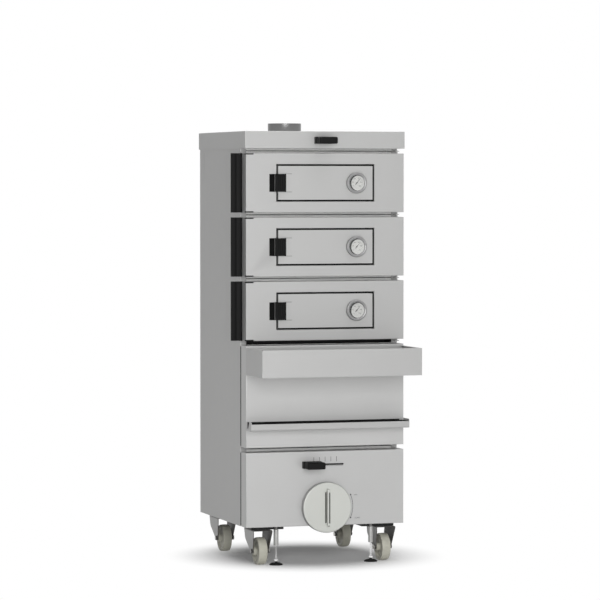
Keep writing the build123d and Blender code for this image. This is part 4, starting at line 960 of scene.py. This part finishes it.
# Gaskets and insulation: the soft parts, rounded
softParts = {"front_gaskets": ("gasket", 0.0034, 3), "insulation_boards": ("wool", 0.0018, 2)}
for node, (look, width, steps) in softParts.items():
    piece = roundEdges(nodeCopy(node, node + "_rounded", True), width, steps, 60.0)
    finishPiece(piece, look, bodyOf[node], (node,), 60.0)
print("gaskets and insulation rounded")

# Marks printed on the ash drawer: ticks over the slot, the arrow arc and its two words
prints = {
    "plane": leafLow[1], "thick": 0.00025, "middle": knobMiddle[0], "height": 0.2070,
    "tickPlaces": (-0.02575, -0.00405, 0.01735, 0.03925, 0.06085), "tickLow": 0.3725,
    "tickHeights": (0.0160, 0.0180), "tickWidth": 0.0014, "tickEdge": 0.0001,
    "arcRadius": 0.1046, "arcWidth": 0.0013, "arcHalf": 23.7, "head": 0.0040,
    "words": (("OPEN", 0.1340, 0.2480, 0.0048), ("CLOSED", 0.1401, 0.1640, 0.0056)),
}


def makeArc():
    centre = (prints["middle"], prints["plane"] - prints["thick"], prints["height"])
    ring = discStart("airArc", centre, prints["arcRadius"] + prints["arcWidth"] / 2, "front", 240)
    pickFaces(ring, lambda middle, normal: True)
    bpy.ops.mesh.inset(thickness=prints["arcWidth"])
    bpy.ops.mesh.delete(type="FACE")
    leaveEdit()
    dropFaces(ring, lambda middle, normal: prints["arcHalf"]
              < abs(math.degrees(math.atan2(middle.z - centre[2], middle.x - centre[0]))))
    thicken(ring, prints["thick"])
    heads = []
    for way in (1, -1):
        angle = math.radians(prints["arcHalf"]) * way
        calm()
        bpy.ops.mesh.primitive_circle_add(vertices=3, radius=prints["head"], fill_type="NGON")
        head = settle(bpy.context.object)
        head.data.transform(Matrix.Rotation(angle if way > 0 else angle + math.pi, 4, "Z"))
        head.data.transform(Matrix.Rotation(math.pi / 2, 4, "X"))
        spot = (centre[0] + prints["arcRadius"] * math.cos(angle), centre[1],
                centre[2] + prints["arcRadius"] * math.sin(angle))
        head.data.transform(Matrix.Translation(spot))
        heads.append(thicken(head, prints["thick"]))
    return joinAll([ring] + heads, "airArc")


def makeTicks():
    half, bottom = prints["tickWidth"] / 2, prints["tickLow"]
    heights = spread(*prints["tickHeights"], len(prints["tickPlaces"]))
    spans = [((place - half, prints["plane"] - prints["thick"], bottom),
              (place + half, prints["plane"], bottom + height))
             for place, height in zip(prints["tickPlaces"], heights)]
    return roundedBars("airTicks", spans, prints["tickEdge"])


def makeWords():
    words = []
    for letters, place, height, size in prints["words"]:
        spot = (place, prints["plane"] - prints["thick"] / 2, height)
        words.append(writing("word", letters, spot, size, prints["thick"] / 2))
    return joinAll(words, "airWords")


for piece in (makeArc(), makeTicks(), makeWords()):
    finishPiece(piece, "ink", "ash_drawer")
print("ash drawer printed")

# Screws of the back panel, one model copied
backLow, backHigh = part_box("back_panel")
screw = {"radius": 0.0042, "rise": 0.0016, "edge": 0.0006, "sunk": 0.0001, "socket": 0.0019,
         "socketDepth": 0.0007, "faceSlack": 0.00005, "fromEdge": 0.0120, "fromEnd": 0.030, "columns": 3,
         "rows": 7}


def makeScrew():
    piece = rodStart("panelScrew", (0, screw["rise"] / 2 - screw["sunk"], 0), screw["radius"], screw["rise"],
                     "front", 20)
    roundEdges(piece, screw["edge"], 2, 60.0)
    outer = max(face.center.y for face in piece.data.polygons) - screw["faceSlack"]
    pushFaces(piece, lambda middle, normal: middle.y > outer and abs(normal.y) > 0.9,
              (0, -screw["socketDepth"], 0), screw["radius"] - screw["edge"] - screw["socket"])
    return piece


oneScrew = makeScrew()
backScrews = []
columns = spread(backLow[0] + screw["fromEdge"], backHigh[0] - screw["fromEdge"], screw["columns"])
rows = spread(backLow[2] + screw["fromEnd"], backHigh[2] - screw["fromEnd"], screw["rows"])
for height in rows:
    for place in columns:
        # Inside the panel's outline there are none
        if place in (columns[0], columns[-1]) or height in (rows[0], rows[-1]):
            backScrews.append(copyOf(oneScrew, "screw", (place, backHigh[1], height)))
finishPiece(joinAll(backScrews, "backScrews"), "bright", "cabinet")
bpy.data.objects.remove(oneScrew)
print("back screws placed:", len(backScrews))

# Hexagon nuts on the caster axles
axleNut = {"radius": 0.0095, "height": 0.0042, "edge": 0.0005}
for name in casterNames:
    forkLow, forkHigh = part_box("caster_fork_" + name)
    axle = middleOf("caster_wheel_" + name)[1:]
    inner = forkLow[0] if "right" in name else forkHigh[0] - axleNut["height"]
    nut = rodStart("axleNut_" + name, (inner + axleNut["height"] / 2, *axle), axleNut["radius"],
                   axleNut["height"], "side", 6)
    roundEdges(nut, axleNut["edge"], 2, 40.0)
    finishPiece(nut, "bright", "caster_" + name)
print("caster nuts placed")

# Floor: pale paper that goes over to plain white away from the oven
floorLook = {"size": 60.0, "color": (0.90, 0.90, 0.90, 1), "glow": 0.05, "whiteFrom": 0.60, "whiteTo": 1.40,
             "middle": (0.03, 0.06, 0.0), "reach": (0.38, 0.40, 1.0)}
calm()
bpy.ops.mesh.primitive_plane_add(size=floorLook["size"])
floor = bpy.context.object
floor.name = "floor"
floorMaterial = bpy.data.materials.new("floorPaper")
floorMaterial.use_nodes = True
tree = floorMaterial.node_tree
paper = tree.nodes["Principled BSDF"]
paper.inputs["Base Color"].default_value = floorLook["color"]
paper.inputs["Roughness"].default_value = 0.9
paper.inputs["Specular IOR Level"].default_value = 0.0
glow = tree.nodes.new("ShaderNodeEmission")
glow.inputs["Strength"].default_value = 1.0
away = objectVector(tree)
for operation, value in (("SUBTRACT", floorLook["middle"]), ("DIVIDE", floorLook["reach"]), ("LENGTH", None)):
    step = tree.nodes.new("ShaderNodeVectorMath")
    step.operation = operation
    tree.links.new(away, step.inputs[0])
    if value:
        step.inputs[1].default_value = value
    away = step.outputs[0]
white = tree.nodes.new("ShaderNodeMapRange")
white.interpolation_type = "SMOOTHSTEP"
white.inputs["From Min"].default_value = floorLook["whiteFrom"]
white.inputs["From Max"].default_value = floorLook["whiteTo"]
white.inputs["To Min"].default_value = floorLook["glow"]
tree.links.new(step.outputs["Value"], white.inputs["Value"])
mixShader = tree.nodes.new("ShaderNodeMixShader")
tree.links.new(mathNode(tree, "MULTIPLY", seenRays(tree), white.outputs[0]), mixShader.inputs[0])
tree.links.new(paper.outputs[0], mixShader.inputs[1])
tree.links.new(glow.outputs[0], mixShader.inputs[2])
tree.links.new(mixShader.outputs[0], tree.nodes["Material Output"].inputs["Surface"])
floor.data.materials.append(floorMaterial)

# Room: white where the camera and the metal see it, dimmer as light, and dimmest from the left
room = {"dim": 0.0, "bright": 0.25, "dimFrom": -0.9, "brightFrom": 0.4}
world = bpy.data.worlds.new("studio")
bpy.context.scene.world = world
world.use_nodes = True
tree = world.node_tree
background = tree.nodes["Background"]
direction = tree.nodes.new("ShaderNodeTexCoord")
split = tree.nodes.new("ShaderNodeSeparateXYZ")
tree.links.new(direction.outputs["Generated"], split.inputs[0])
sideways = tree.nodes.new("ShaderNodeMapRange")
sideways.inputs["From Min"].default_value = room["dimFrom"]
sideways.inputs["From Max"].default_value = room["brightFrom"]
tree.links.new(split.outputs["X"], sideways.inputs["Value"])
dim, bright = ((room[key],) * 3 + (1,) for key in ("dim", "bright"))
cast = mixColor(tree, sideways.outputs[0], dim, bright)
tree.links.new(mixColor(tree, seenRays(tree), cast, (1, 1, 1, 1)), background.inputs["Color"])

lamps = {
    "keyLamp": {"place": (-1.20, -5.20, 1.50), "aim": (0, 0, 0.85), "size": 2.4, "watts": 137.0},
    "topLamp": {"place": (0.3, -0.3, 5.2), "aim": (0, 0, 0), "size": 3.6, "watts": 110.0},
}
for name, lamp in lamps.items():
    data = bpy.data.lights.new(name, "AREA")
    data.energy = lamp["watts"]
    data.size = lamp["size"]
    light = bpy.data.objects.new(name, data)
    light.location = lamp["place"]
    light.rotation_euler = (Vector(lamp["aim"]) - light.location).to_track_quat("-Z", "Y").to_euler()
    bpy.context.scene.collection.objects.link(light)
print("floor and light placed")
